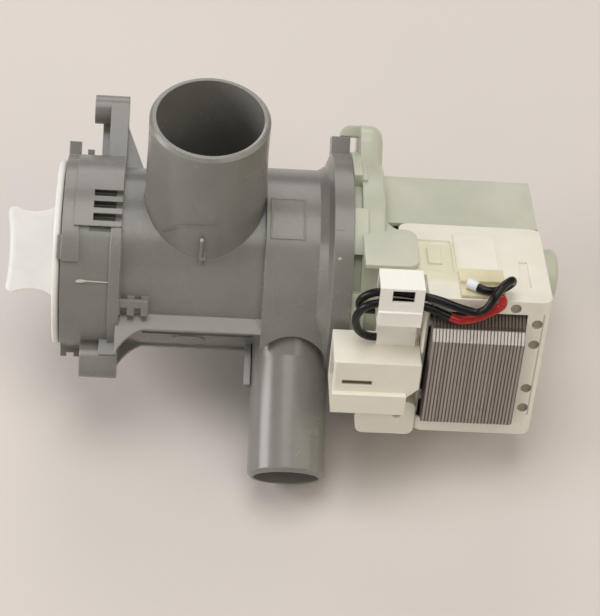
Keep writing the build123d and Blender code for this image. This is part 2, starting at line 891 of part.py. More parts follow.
def impeller_driver():
    front = impeller_front + impeller_nose_length + free_gap
    half = dog_degrees / 2
    body = disc(front, driver_back, driver_hub_radius)
    body += sector(front, impeller_back - free_gap, shaft_radius + running_gap,
                   impeller_cup_radius - free_gap, -half, half)
    return body - disc(front - overrun, driver_back + overrun, shaft_radius)


def rotor_shaft():
    shaft = disc(shaft_front, shaft_back, shaft_radius)
    return chamfer(shaft.edges(), running_gap * 6)


def rotor_magnet():
    magnet = tube(magnet_front, magnet_back, magnet_radius, carrier_core_radius)
    return chamfer(magnet.edges().group_by(Axis.X)[0], running_gap * 10)


def magnet_carrier():
    last = magnet_back + carrier_flange_thickness
    body = disc(magnet_front - carrier_flange_thickness, last, carrier_core_radius)
    body += disc(magnet_front - carrier_flange_thickness, magnet_front, carrier_flange_radius)
    body += disc(magnet_back, last, carrier_flange_radius)
    body += disc(carrier_front, magnet_front, carrier_neck_radius)
    return body - disc(carrier_front - overrun, last + overrun, shaft_radius)


def thrust_washer(first):
    return tube(first, first + washer_thickness, washer_radius, shaft_bore_radius)


def front_bearing():
    last = front_bearing_front + front_bearing_length
    return tube(front_bearing_front, last, bearing_radius, shaft_bore_radius)


def rear_bearing():
    last = rear_bearing_front + rear_bearing_length
    return tube(rear_bearing_front, last, bearing_radius, shaft_bore_radius)


def rear_bearing_mount():
    last = rear_bearing_front + rear_bearing_length
    return tube(rear_bearing_front, last, rear_mount_radius, bearing_radius)


def shaft_seal():
    # a rubber ring with a thin lip against the shaft
    first, last = shaft_seal_front, shaft_seal_front + shaft_seal_length
    lip = shaft_seal_length / 3
    points = [
        (first, shaft_seal_radius),
        (first, shaft_seal_radius - lip),
        (first + lip, shaft_bore_radius + lip),
        (first + lip, shaft_bore_radius),
        (first + 2 * lip, shaft_bore_radius),
        (last, shaft_seal_radius - lip),
        (last, shaft_seal_radius),
    ]
    return turned(points)


def bearing_block():
    lip_front = spigot_front - bearing_block_lip
    body = disc(spigot_front, bearing_block_back, bearing_block_radius)
    body += disc(lip_front, spigot_front, bearing_block_lip_radius)
    seal_back = shaft_seal_front + shaft_seal_length
    body -= disc(lip_front - overrun, seal_back, shaft_seal_radius)
    body -= disc(lip_front, bearing_block_back + overrun, bearing_step_radius)
    body -= disc(front_bearing_front, bearing_block_back + overrun, bearing_radius)
    return body


def flange_ear():
    # a rounded ear on the rim, with a lip over the lug on the ring
    half, root = ear_half_width, ear_root_half_width
    start = flange_radius * ear_root_share
    points = [(-root, start), (root, start), (half, ear_reach), (-half, ear_reach)]
    outward = Axis((0, 0, 0), direction(ear_angle))
    ear = side_prism(ear_angle, points, ring_back + flange_plate, flange_rim_back)
    ear = fillet(ear.edges().filter_by(Axis.X).group_by(outward)[-1], ear_round)
    ear = fillet(ear.edges().group_by(Axis.X)[-1].group_by(outward)[-1], ear_back_round)
    lip_low = ring_lug_reach + free_gap
    lip = block(ear_angle, (ear_lip_front, ring_back + flange_plate + overrun),
                (ear_round - half, half - ear_round), (lip_low, ear_reach))
    lip = fillet(lip.edges().group_by(Axis.X)[0].group_by(outward)[-1], ear_lip_round)
    return ear + lip


def motor_flange():
    plate_back = ring_back + flange_plate
    body = disc(plate_back, flange_rim_back, flange_radius)
    body = fillet(body.edges().group_by(Axis.X)[-1], flange_rim_round)
    body += disc(ring_back, plate_back, flange_plate_radius)
    hollow = tube(plate_back, flange_rim_back + overrun, flange_radius - flange_rim_wall,
                  can_radius + flange_rib_thickness)
    rib = block(ear_angle, (plate_back, flange_rim_back - overrun),
                (-flange_rib_thickness / 2, flange_rib_thickness / 2),
                (can_bore_radius + can_wall / 2, flange_radius - flange_rim_wall / 2))
    body -= hollow
    for index in range(flange_rib_count):
        body += Rot(index * 360 / flange_rib_count, 0, 0) * rib
    body += flange_ear()
    for index in range(claw_count):
        start = claw_first_angle + index * 360 / claw_count
        body += sector(ring_back, plate_back + overrun, flange_plate_radius - overrun, claw_radius,
                       start, start + claw_degrees)
    leg_start = claw_first_angle + 360 / claw_count
    body += sector(ring_back, plate_back, flange_plate_radius - overrun, claw_radius + overrun,
                   leg_start, leg_start + claw_leg_degrees)
    body += disc(spigot_front, ring_back, ring_bore_radius - slip_gap)
    body -= tube(spigot_front + overrun, spigot_front + overrun + 2 * flange_seal_section + slip_gap,
                 ring_bore_radius, ring_bore_radius - 2 * flange_seal_section)
    body += flange_tongue()
    body += disc(ring_back, can_back + can_wall, can_radius)
    boss = disc(can_back, rear_boss_back, rear_boss_radius)
    body += fillet(boss.edges().group_by(Axis.X)[-1], rear_boss_round)
    body -= disc(spigot_front - overrun, can_back, can_bore_radius)
    body -= disc(can_back - overrun, rear_boss_back - rear_boss_wall, rear_mount_radius)
    return body


def flange_tongue():
    # a tongue from the rim over the cover's top, with a hollow curve at its root
    front, back = ring_back + flange_plate, flange_rim_back
    first, last = tongue_first_reach, tongue_last_reach
    hollow = ThreePointArc((back, first - tongue_hollow_reach),
                           (back + tongue_hollow / 3, first - tongue_hollow_reach / 3),
                           (back + tongue_hollow, first))
    rest = Polyline((back + tongue_hollow, first), (tongue_back, first), (tongue_back, last),
                    (front, last), (front, first - tongue_hollow_reach),
                    (back, first - tongue_hollow_reach))
    base = radial_plane(0, core_angle)
    low_height = cover_half_height + pad_rise
    origin = base.origin + base.y_dir * (low_height + tongue_thickness)
    side = Plane(origin=origin, x_dir=(1, 0, 0), z_dir=-base.y_dir)
    body = extrude(side * make_face(hollow + rest), tongue_thickness)
    upright = body.edges().filter_by(lambda edge: abs(edge.tangent_at(0.5).dot(base.y_dir)) > 0.9)
    body = fillet(upright.group_by(Axis.X)[-1], tongue_round)
    return body + block(core_angle, (front, back),
                        (cover_half_height - overrun, low_height + tongue_thickness),
                        (first - tongue_hollow_reach, last - tongue_round))


def shell_outline(inset):
    # the far wall slants, so that it reaches further at the top than at the bottom
    half = cover_half_height - inset
    return [
        (-half, cover_joint_reach + overrun * (inset > 0)), (half, cover_joint_reach + overrun * (inset > 0)),
        (half, inset - shell_top_reach), (-half, inset - shell_reach),
    ]


def stator_shell():
    # an open box over the pole ends, closed by the coil cover
    body = side_prism(core_angle, shell_outline(0), shell_front, shell_back)
    far = body.edges().filter_by(Axis.X).group_by(Axis((0, 0, 0), direction(core_angle)))
    body = fillet(far[1], shell_round)
    far = body.edges().filter_by(Axis.X).sort_by(Axis((0, 0, 0), direction(core_angle + 90)))
    top = far.group_by(Axis((0, 0, 0), direction(core_angle)))[0]
    body = fillet(top, shell_top_round)
    wall = shell_wall
    body -= side_prism(core_angle, shell_outline(wall), shell_front + wall, shell_back - wall)
    body -= disc(shell_front - overrun, shell_front + 2 * wall, can_radius + slip_gap)
    return body - disc(shell_back - 2 * wall, shell_back + overrun, can_radius + slip_gap)


def knee_point(top_point, front_point):
    # a point a little outside the middle of the stack's upper bevel
    middle = [a + (b - a) * yoke_knee_share for a, b in zip(top_point, front_point)]
    run = (front_point[0] - top_point[0], front_point[1] - top_point[1])
    length = sqrt(run[0]**2 + run[1]**2)
    return (middle[0] + run[1] / length * yoke_knee_rise, middle[1] - run[0] / length * yoke_knee_rise)


def stack_outline():
    # the outside of one lamination, in (across, outwards)
    half, front = yoke_half_height, yoke_reach
    back = yoke_reach - yoke_depth
    top = half - yoke_top_chamfer_height
    foot = yoke_foot_chamfer
    pole = pole_half_height
    end = -shell_reach + shell_wall + free_gap
    shoe = bobbin_front_reach - free_gap
    bevel = ((half, front - yoke_top_chamfer_depth), (top, front))
    return [
        (-pole, end), (pole, end), (pole, shoe), (leg_outer_height, shoe), (leg_outer_height, back),
        (half, back), bevel[0], knee_point(*bevel), bevel[1],
        (-half + foot, front), (-half, front - foot), (-half, back),
        (-leg_outer_height, back), (-leg_outer_height, shoe), (-pole, shoe),
    ]


def groove_outline():
    # the hollow left round the yoke between two laminations
    half, front = yoke_half_height - lamination_relief, yoke_reach - lamination_relief
    back = yoke_reach - yoke_depth - overrun
    outside = yoke_half_height + overrun
    foot = yoke_foot_chamfer
    bevel = ((half, front - yoke_top_chamfer_depth), (half - yoke_top_chamfer_height, front))
    return [
        (outside, back), (outside, yoke_reach + overrun), (-outside, yoke_reach + overrun),
        (-outside, back), (-half, back), (-half, front - foot), (-half + foot, front),
        bevel[1], knee_point(*bevel), bevel[0], (half, back),
    ]


def lamination_stack():
    ends = (stack_front - overrun, stack_back + overrun)
    body = side_prism(core_angle, stack_outline(), stack_front, stack_back)
    body -= block(core_angle, ends, (-leg_inner_height, leg_inner_height), (0, yoke_reach - yoke_depth))
    body -= block(core_angle, ends, (-leg_inner_height / 2, leg_inner_height / 2), (-shell_reach, overrun))
    body -= disc(ends[0], ends[1], pole_bore_radius)
    for height in (-rivet_height, rivet_height):
        body -= rivet_shank(height, ends[0], ends[1], rivet_radius + running_gap)
    pitch = stack_thickness / lamination_count
    grooves = []
    for index in range(1, lamination_count):
        back = stack_front + index * pitch
        grooves.append(side_prism(core_angle, groove_outline(), back - lamination_gap, back))
    return body.cut(*grooves)


def rivet_shank(height, first, last, radius):
    place_at = radial_plane(first, core_angle) * Pos(0, height, rivet_reach)
    return Plane(origin=place_at.position, z_dir=(1, 0, 0)) * Cylinder(radius, last - first, align=low)


def core_rivets():
    body = Part()
    for height in (-rivet_height, rivet_height):
        rivet = rivet_shank(height, stack_front, stack_back, rivet_radius)
        rivet += rivet_shank(height, stack_front - rivet_head_thickness, stack_front,
                             rivet_head_radius)
        rivet += rivet_shank(height, stack_back, stack_back + rivet_head_thickness,
                             rivet_head_radius)
        body += rivet
    return body


def coil_span(margin):
    return (stack_front - margin, stack_back + margin)


def bobbin(side):
    # a tube round one leg with a flange at each end, side is +1 above and -1 below
    gap = slip_gap
    inner = (leg_inner_height - gap, leg_outer_height + gap)
    outer = (inner[0] - bobbin_wall, inner[1] + bobbin_wall)
    wide = (bobbin_inner_height, bobbin_outer_height)
    reach = (bobbin_front_reach, bobbin_back_reach)
    ends = [(reach[0], reach[0] + bobbin_flange), (reach[1] - bobbin_flange, reach[1])]
    body = block(core_angle, coil_span(gap + bobbin_wall), across(side, outer), reach)
    for end in ends:
        body += block(core_angle, coil_span(bobbin_side_margin), across(side, wide), end)
    return body - block(core_angle, coil_span(gap), across(side, inner),
                        (reach[0] - overrun, reach[1] + overrun))


def across(side, span):
    return (min(side * span[0], side * span[1]), max(side * span[0], side * span[1]))


def winding(side):
    gap = slip_gap
    inner = (leg_inner_height - gap - bobbin_wall, leg_outer_height + gap + bobbin_wall)
    outer = (bobbin_inner_height + winding_margin, bobbin_outer_height - winding_margin)
    reach = (bobbin_front_reach + bobbin_flange, bobbin_back_reach - bobbin_flange)
    span = coil_span(bobbin_side_margin - winding_margin)
    body = block(core_angle, span, across(side, outer), reach)
    ends = body.edges().filter_by(lambda edge: abs(edge.tangent_at(0.5).dot(direction(core_angle))) > 0.9)
    body = fillet(ends, winding_round)
    return body - block(core_angle, coil_span(gap + bobbin_wall), across(side, inner),
                        (reach[0] - overrun, reach[1] + overrun))


def cover_outline():
    # seen from above: the front left corner is notched for the connector
    return [
        (cover_front, cover_joint_reach), (cover_back, cover_joint_reach),
        (cover_back, cover_reach), (cover_notch_front, cover_reach),
        (cover_notch_front, cover_notch_reach), (cover_front, cover_notch_reach),
    ]


def coil_cover():
    half, wall = cover_half_height, cover_wall
    body = face_prism(core_angle, cover_outline(), -half, half)
    normal = direction(core_angle + 90)
    upright = body.edges().filter_by(lambda edge: abs(edge.tangent_at(0.5).dot(normal)) > 0.9)
    outer = [edge for edge in upright if is_outer_corner(edge)]
    body = fillet(outer, cover_corner_round)
    inside = [
        (cover_front + wall, cover_joint_reach - overrun), (cover_back - wall, cover_joint_reach - overrun),
        (cover_back - wall, cover_reach - wall), (cover_notch_front + wall, cover_reach - wall),
        (cover_notch_front + wall, cover_notch_reach - wall), (cover_front + wall, cover_notch_reach - wall),
    ]
    body -= face_prism(core_angle, inside, -half + wall, half - wall)
    body -= disc(cover_front - overrun, cover_front + 2 * wall, can_radius + free_gap)
    body -= disc(cover_back - 2 * wall, cover_back + overrun, can_radius + free_gap)
    gap = window_gap
    body -= block(core_angle, (stack_front - window_left_gap, stack_back + gap),
                  (-yoke_half_height - gap, yoke_half_height + gap),
                  (cover_reach - 2 * wall, cover_reach + overrun))
    body += cover_top()
    body -= cover_holes()
    for station in terminal_stations():
        body -= terminal(station, slip_gap / 2)
    return body + foot_tab()


def is_outer_corner(edge):
    # every corner of the cover seen from above but the two beside the notch
    local = radial_plane(0, core_angle).to_local_coords(edge.center())
    return abs(local.Z - cover_notch_reach) > cover_wall


def cover_top():
    # the raised pad and the rim of the pocket with its catch
    half = cover_half_height
    body = block(core_angle, (pad_front, pad_front + pad_length), (half - cover_wall, half + pad_rise),
                 (pad_first_reach, pad_last_reach))
    middle = pocket_front + pocket_length / 2
    centre = (pocket_first_reach + pocket_last_reach) / 2
    points = [
        (middle - catch_length / 2, centre - catch_width / 2),
        (middle + catch_length / 2, centre - catch_width / 4),
        (middle + catch_length / 2, centre + catch_width / 2),
        (middle - catch_length / 2, centre + catch_width / 4),
    ]
    return body + face_prism(core_angle, points, half - cover_wall, half + catch_rise - pocket_depth)


def cover_holes():
    half = cover_half_height
    cut = block(core_angle, (dimple_front, dimple_front + dimple_length),
                (half - pocket_depth, half + overrun), (dimple_first_reach, dimple_last_reach))
    span = (pocket_front, pocket_front + pocket_length)
    ring = block(core_angle, span, (half - pocket_depth, half + overrun),
                 (pocket_first_reach, pocket_last_reach))
    centre = (pocket_first_reach + pocket_last_reach) / 2
    ring -= block(core_angle, (span[0] + catch_length, span[1] - catch_length),
                  (half - overrun, half + 2 * overrun), (centre - catch_width, centre + catch_width))
    cut += ring
    stations = [(cover_back - vent_side_inset, half * share) for share in vent_height_shares]
    stations.append((vent_top_station, half - vent_top_inset))
    for station, height in stations:
        cut += radial_plane(station, core_angle) * Pos(0, height, cover_reach - vent_depth) * Cylinder(
            vent_radius, vent_depth + overrun, align=low)
    return cut


def foot_tab():
    # the flat tab below the connector, joined to the bottom of the cover
    body = block(core_angle, (foot_tab_front, cover_notch_front + cover_wall / 3),
                 (foot_tab_low, connector_low - slip_gap), (cover_reach - foot_tab_depth, cover_reach))
    corner = body.edges().filter_by(lambda edge: abs(edge.tangent_at(0.5).dot(direction(core_angle))) > 0.9)
    body = fillet(corner, foot_tab_round_share * (connector_low - foot_tab_low))
    hole = radial_plane(foot_tab_hole_station, core_angle)
    hole *= Pos(0, foot_tab_low + foot_tab_hole_rise, cover_reach)
    body -= hole * Cylinder(foot_tab_hole_radius, 2 * foot_tab_depth)
    return body


def terminal_block():
    half = cover_half_height
    last = block_front + block_length
    body = block(core_angle, (block_front, last), (half, half + block_rise),
                 (block_first_reach, block_last_reach))
    body -= block(core_angle, (block_front - overrun, last + overrun),
                  (half + block_ledge_rise, half + block_rise + overrun),
                  (block_ledge_reach, block_last_reach + overrun))
    for station in terminal_stations():
        body -= terminal(station, slip_gap / 4)
    return body


def terminal_stations():
    middle = block_front + block_length / 2
    return [middle + (index - 0.5) * terminal_pitch for index in range(2)]


def terminal(station, gap):
    half = terminal_width / 2 + gap
    thick = terminal_thickness / 2 + gap
    centre = block_first_reach + (block_ledge_reach - block_first_reach) / 2
    high = cover_half_height + block_rise * terminal_rise_share
    return block(core_angle, (station - half, station + half), (high - terminal_drop, high + gap),
                 (centre - thick, centre + thick))


def pair(solids):
    # separate solids kept together as one piece
    body = Part()
    for solid in solids:
        body += solid
    return body


def lead_terminals():
    return pair([terminal(station, 0) for station in terminal_stations()])


def front_prism(points, first_reach, last_reach):
    # an outline of (station, across) points in the motor section, extruded outwards
    base = radial_plane(0, core_angle)
    origin = base.origin + base.z_dir * first_reach
    plane = Plane(origin=origin, x_dir=(1, 0, 0), z_dir=base.z_dir)
    return extrude(plane * make_face(Polyline(*points, close=True)), last_reach - first_reach)


def connector_housing():
    first, last = connector_last_reach - connector_depth, connector_last_reach
    slant = (connector_top + connector_low) / 2
    points = [
        (connector_front, connector_top), (connector_back, connector_top), (connector_back, slant),
        (connector_foot_back, slant - (connector_back - connector_foot_back)),
        (connector_foot_back, connector_low), (connector_front, connector_low),
    ]
    body = front_prism(points, first, last)
    outward = Axis((0, 0, 0), direction(core_angle))
    body = fillet(body.edges().group_by(outward)[-1].group_by(Axis.X)[0], connector_round)
    body += block(core_angle, (connector_front, connector_foot_back),
                  (connector_low, connector_low + connector_band_width), (last, last + connector_band_step))
    wall = connector_wall
    cavity = (connector_low + wall, connector_top - wall)
    body -= block(core_angle, (connector_front - overrun, connector_front + connector_socket_depth),
                  (cavity[0] + wall, cavity[1] - wall), (first + 2 * wall, last - wall))
    low_slot = connector_top - connector_slot_drop - connector_slot_width / 2
    body -= block(core_angle, (connector_slot_front, connector_slot_front + connector_slot_length),
                  (low_slot, low_slot + connector_slot_width), (last - 2 * wall, last + overrun))
    for height in pin_heights():
        body -= connector_pin(height, slip_gap / 4)
    return body


def pin_heights():
    middle = (connector_top + connector_low) / 2
    return [middle + (index - (pin_count - 1) / 2) * pin_pitch for index in range(pin_count)]


def connector_pin(height, gap):
    centre = connector_last_reach - connector_depth / 2
    first = connector_front + connector_socket_depth / 3
    half, thick = pin_width / 2 + gap, pin_thickness / 2 + gap
    return block(core_angle, (first, first + pin_length + gap), (height - thick, height + thick),
                 (centre - half, centre + half))


def connector_pins():
    return pair([connector_pin(height, 0) for height in pin_heights()])


def lead_clip():
    # an open-ended box with a window in its front, on a post
    wall = clip_wall
    span = (clip_front, clip_front + clip_length)
    body = block(core_angle, span, (clip_floor_height, clip_roof_height),
                 (clip_first_reach, clip_last_reach))
    body -= block(core_angle, (span[0] - overrun, span[1] + overrun),
                  (clip_floor_height + wall, clip_roof_height - wall),
                  (clip_first_reach - overrun, clip_last_reach - wall))
    body -= block(core_angle, (clip_window_front, clip_window_front + clip_window_length),
                  (clip_roof_height - clip_window_drop, clip_roof_height - clip_roof_rim),
                  (clip_last_reach - 2 * wall, clip_last_reach + overrun))
    body += block(core_angle, (span[0], span[1]), (clip_floor_height, clip_roof_height),
                  (clip_first_reach - wall, clip_first_reach))
    body += block(core_angle, (clip_post_front, span[1]), (connector_top, clip_floor_height + wall),
                  (clip_post_first_reach, clip_post_last_reach))
    for points in (lead_one_points, lead_two_points):
        body -= lead_tube(points[:2], lead_radius)
    return body


# Lead routes in the motor section: station, height above the cover's top and
# distance outwards from its front.
# The first run of each black lead sits in a hole in the post of the clip.
lead_one_points = [
    (48.0, -12.9, -9.4), (40.8, -13.7, -9.2), (36.4, -11.3, -6.8), (35.7, -6.3, -5.2),
    (39.6, -1.7, -3.8), (46.4, -0.1, -2.9), (55.2, -0.1, -1.8), (63.8, 0.7, 1.9),
    (71.0, -0.8, 4.2), (78.2, -2.0, 5.6), (81.5, 0.7, 6.2), (83.8, 5.5, 5),
    (87.2, 8.1, 1), (90.8, 7.9, -2.8), (91.4, 5.1, -4.6), (88.6, 3.2, -3.8),
    (84.6, 3.2, -1.6), (81.2, 3.3, -1.6), (78.6, 3.4, -3.3),
]
lead_two_points = [
    (48.0, -25.3, -8.6), (40.9, -25.1, -7.6), (36.0, -20.1, -5), (34.6, -12.1, -2.6),
    (37.6, -5.5, -0.9), (45.2, -3.3, -0.7), (56.0, -3.5, -0.8), (64.2, -4.5, 2),
    (68.8, -6.2, 2.6),
]
red_lead_points = [
    (68.8, -6.2, 2.6), (72.4, -7.53, 3.07), (76.8, -6.8, 3), (81.2, -5.2, 2.4),
    (85.2, -3.1, 1.9), (88.0, -0.5, 1.75), (87.5, 2.5, 1.75), (84.9, 3.7, 1.7),
]


def route(points):
    # straight runs joined by arcs, each as large as its two runs allow
    base = radial_plane(0, core_angle)
    corners = [base.from_local_coords(Vector(station, cover_half_height + rise, cover_reach + out))
               for station, rise, out in points]
    if len(corners) == 2:
        return Line(*corners), []
    radii = []
    for before, corner, after in zip(corners, corners[1:], corners[2:]):
        turn = (corner - before).get_angle(after - corner)
        run = min((corner - before).length, (after - corner).length)
        radii.append(lead_bend_share * run / abs(sin(radians(turn / 2)) / cos(radians(turn / 2))))
    return FilletPolyline(*corners, radius=radii), radii


def lead_tube(points, radius):
    path, radii = route(points)
    if radii:
        print("lead radii", [round(value, 1) for value in radii], "length", round(path.length, 1))
    start = Plane(origin=path @ 0, z_dir=path % 0)
    return sweep(start * Circle(radius), path=path)


def lead_ferrule():
    path, radii = route(lead_one_points)
    end = Plane(origin=path @ 1, z_dir=path % 1)
    return end * Cylinder(ferrule_radius, ferrule_length, align=low)


def build():
    washer_front = front_bearing_front + front_bearing_length + slip_gap * 4
    flange_seal_station = spigot_front + overrun + flange_seal_section + slip_gap / 2
    return {
        "pump_housing": pump_housing(),
        "filter_cap": filter_cap(),
        "filter_strainer": filter_strainer(),
        "filter_seal": ring_seal(seal_station, seal_section_radius, seal_groove_radius + running_gap),
        "impeller": impeller(),
        "impeller_driver": impeller_driver(),
        "rotor_shaft": rotor_shaft(),
        "rotor_magnet": rotor_magnet(),
        "magnet_carrier": magnet_carrier(),
        "front_thrust_washer": thrust_washer(washer_front),
        "rear_thrust_washer": thrust_washer(can_back - 2 * washer_thickness + slip_gap),
        "front_bearing": front_bearing(),
        "rear_bearing": rear_bearing(),
        "rear_bearing_mount": rear_bearing_mount(),
        "shaft_seal": shaft_seal(),
        "bearing_block": bearing_block(),
        "motor_flange": motor_flange(),
        "flange_seal": ring_seal(flange_seal_station, flange_seal_section - running_gap,
                                 ring_bore_radius - 2 * flange_seal_section + running_gap),
        "stator_shell": stator_shell(),
        "lamination_stack": lamination_stack(),
        "core_rivets": core_rivets(),
        "upper_bobbin": bobbin(1),
        "lower_bobbin": bobbin(-1),
        "upper_winding": winding(1),
        "lower_winding": winding(-1),
        "coil_cover": coil_cover(),
        "terminal_block": terminal_block(),
        "lead_terminals": lead_terminals(),
        "connector_housing": connector_housing(),
        "connector_pins": connector_pins(),
        "lead_clip": lead_clip(),
        "upper_lead": lead_tube(lead_one_points, lead_radius),
        "lower_lead": lead_tube(lead_two_points, lead_radius),
        "red_lead": lead_tube(red_lead_points, sleeve_radius),
        "lead_ferrule": lead_ferrule(),
    }


def main():
    nodes = {name: place(solid) for name, solid in build().items()}
    boxes = [solid.bounding_box() for solid in nodes.values()]
    ends_x = [box.min.X for box in boxes] + [box.max.X for box in boxes]
    ends_y = [box.min.Y for box in boxes] + [box.max.Y for box in boxes]
    floor = min(box.min.Z for box in boxes)
    origin = Vector((min(ends_x) + max(ends_x)) / 2, (min(ends_y) + max(ends_y)) / 2, floor)
    print("axis datum", [round(-value, 4) for value in origin])
    os.makedirs("parts", exist_ok=True)
    for name, solid in nodes.items():
        export_step(Pos(*(-origin)) * solid, f"parts/{name}.step")


main()
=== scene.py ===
import math
import bpy
from mathutils import Matrix, Vector


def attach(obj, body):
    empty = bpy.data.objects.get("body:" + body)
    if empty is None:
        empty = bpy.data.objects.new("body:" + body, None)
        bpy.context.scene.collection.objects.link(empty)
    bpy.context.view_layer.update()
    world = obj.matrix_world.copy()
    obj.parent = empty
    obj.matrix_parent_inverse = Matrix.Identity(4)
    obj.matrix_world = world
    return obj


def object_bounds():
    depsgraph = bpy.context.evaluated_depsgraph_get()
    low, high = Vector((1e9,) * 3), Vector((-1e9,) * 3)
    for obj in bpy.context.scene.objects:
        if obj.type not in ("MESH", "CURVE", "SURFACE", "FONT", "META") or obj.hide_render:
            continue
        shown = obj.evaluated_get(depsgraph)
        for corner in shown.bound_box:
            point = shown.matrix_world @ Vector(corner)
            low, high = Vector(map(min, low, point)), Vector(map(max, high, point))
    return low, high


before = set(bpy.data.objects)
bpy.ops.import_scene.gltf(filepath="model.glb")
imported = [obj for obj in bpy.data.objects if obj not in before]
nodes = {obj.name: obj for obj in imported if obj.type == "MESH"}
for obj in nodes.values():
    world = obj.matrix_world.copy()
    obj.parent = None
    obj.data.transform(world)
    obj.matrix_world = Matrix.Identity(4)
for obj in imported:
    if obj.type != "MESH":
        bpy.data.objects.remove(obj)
cadLow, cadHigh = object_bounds()
scene = bpy.context.scene
print("frame loaded,", len(nodes), "nodes")

# where the pump lies: a point on its axis in metres, and in degrees the tilt of the axis
# and the turn of the motor section about it
pump = {"datum": (-0.0096832, 0.0119043, 0.0485962), "tilt": 8.45, "coreAngle": 15.87,
        "millimetre": 0.001}
inlet = {"station": -22.3, "angle": 93.67}


def tiltTurn():
    return Matrix.Rotation(math.radians(pump["tilt"]), 3, "Y")


def pumpPoint(station, across, up):
    # pump coordinates in millimetres to a place in the scene; station runs along the axis
    return Vector(pump["datum"]) + tiltTurn() @ (Vector((station, across, up)) * pump["millimetre"])


def aroundAxis(station, radius, angle):
    # a place about the pump's axis; the angle runs upwards from the front
    angle = math.radians(angle)
    return pumpPoint(station, -radius * math.cos(angle), radius * math.sin(angle))


def aroundInlet(rise, radius, angle):
    # a place about the inlet's own axis; the angle runs from its front towards the motor
    angle, lean = math.radians(angle), math.radians(inlet["angle"])
    front = radius * math.cos(angle)
    return pumpPoint(inlet["station"] + radius * math.sin(angle),
                     -rise * math.cos(lean) - front * math.sin(lean),
                     rise * math.sin(lean) - front * math.cos(lean))


def tone(red, green, blue):
    # a colour as it is read off a screen, 0 to 255, turned linear
    def flat(value):
        value = value / 255
        return value / 12.92 if value <= 0.04045 else ((value + 0.055) / 1.055) ** 2.4
    return (flat(red), flat(green), flat(blue), 1.0)


class Wire:
    # one output of a material's node, with the sums that can be done on it
    def __init__(self, finish, socket):
        self.finish = finish
        self.socket = socket

    def combine(self, how, first, second):
        return self.finish.node("Math", {"operation": how}, {0: first, 1: second})

    def __add__(self, other):
        return self.combine("ADD", self, other)

    def __radd__(self, other):
        return self.combine("ADD", other, self)

    def __sub__(self, other):
        return self.combine("SUBTRACT", self, other)

    def __rsub__(self, other):
        return self.combine("SUBTRACT", other, self)

    def __mul__(self, other):
        return self.combine("MULTIPLY", self, other)

    def __rmul__(self, other):
        return self.combine("MULTIPLY", other, self)

    def __truediv__(self, other):
        return self.combine("DIVIDE", self, other)

    def __rtruediv__(self, other):
        return self.combine("DIVIDE", other, self)


# how far a rounded edge turns from its face before it is paled, partly as rubbed wear and partly as
# a painted highlight
wearAndHighlight = {"samples": 4, "turned": (0.004, 0.12)}
# the motor section's own directions, for patches of colour that lie in it
coreAxes = {"station": ("X", 1.0), "out": ("Y", -1.0), "up": ("Z", 1.0)}


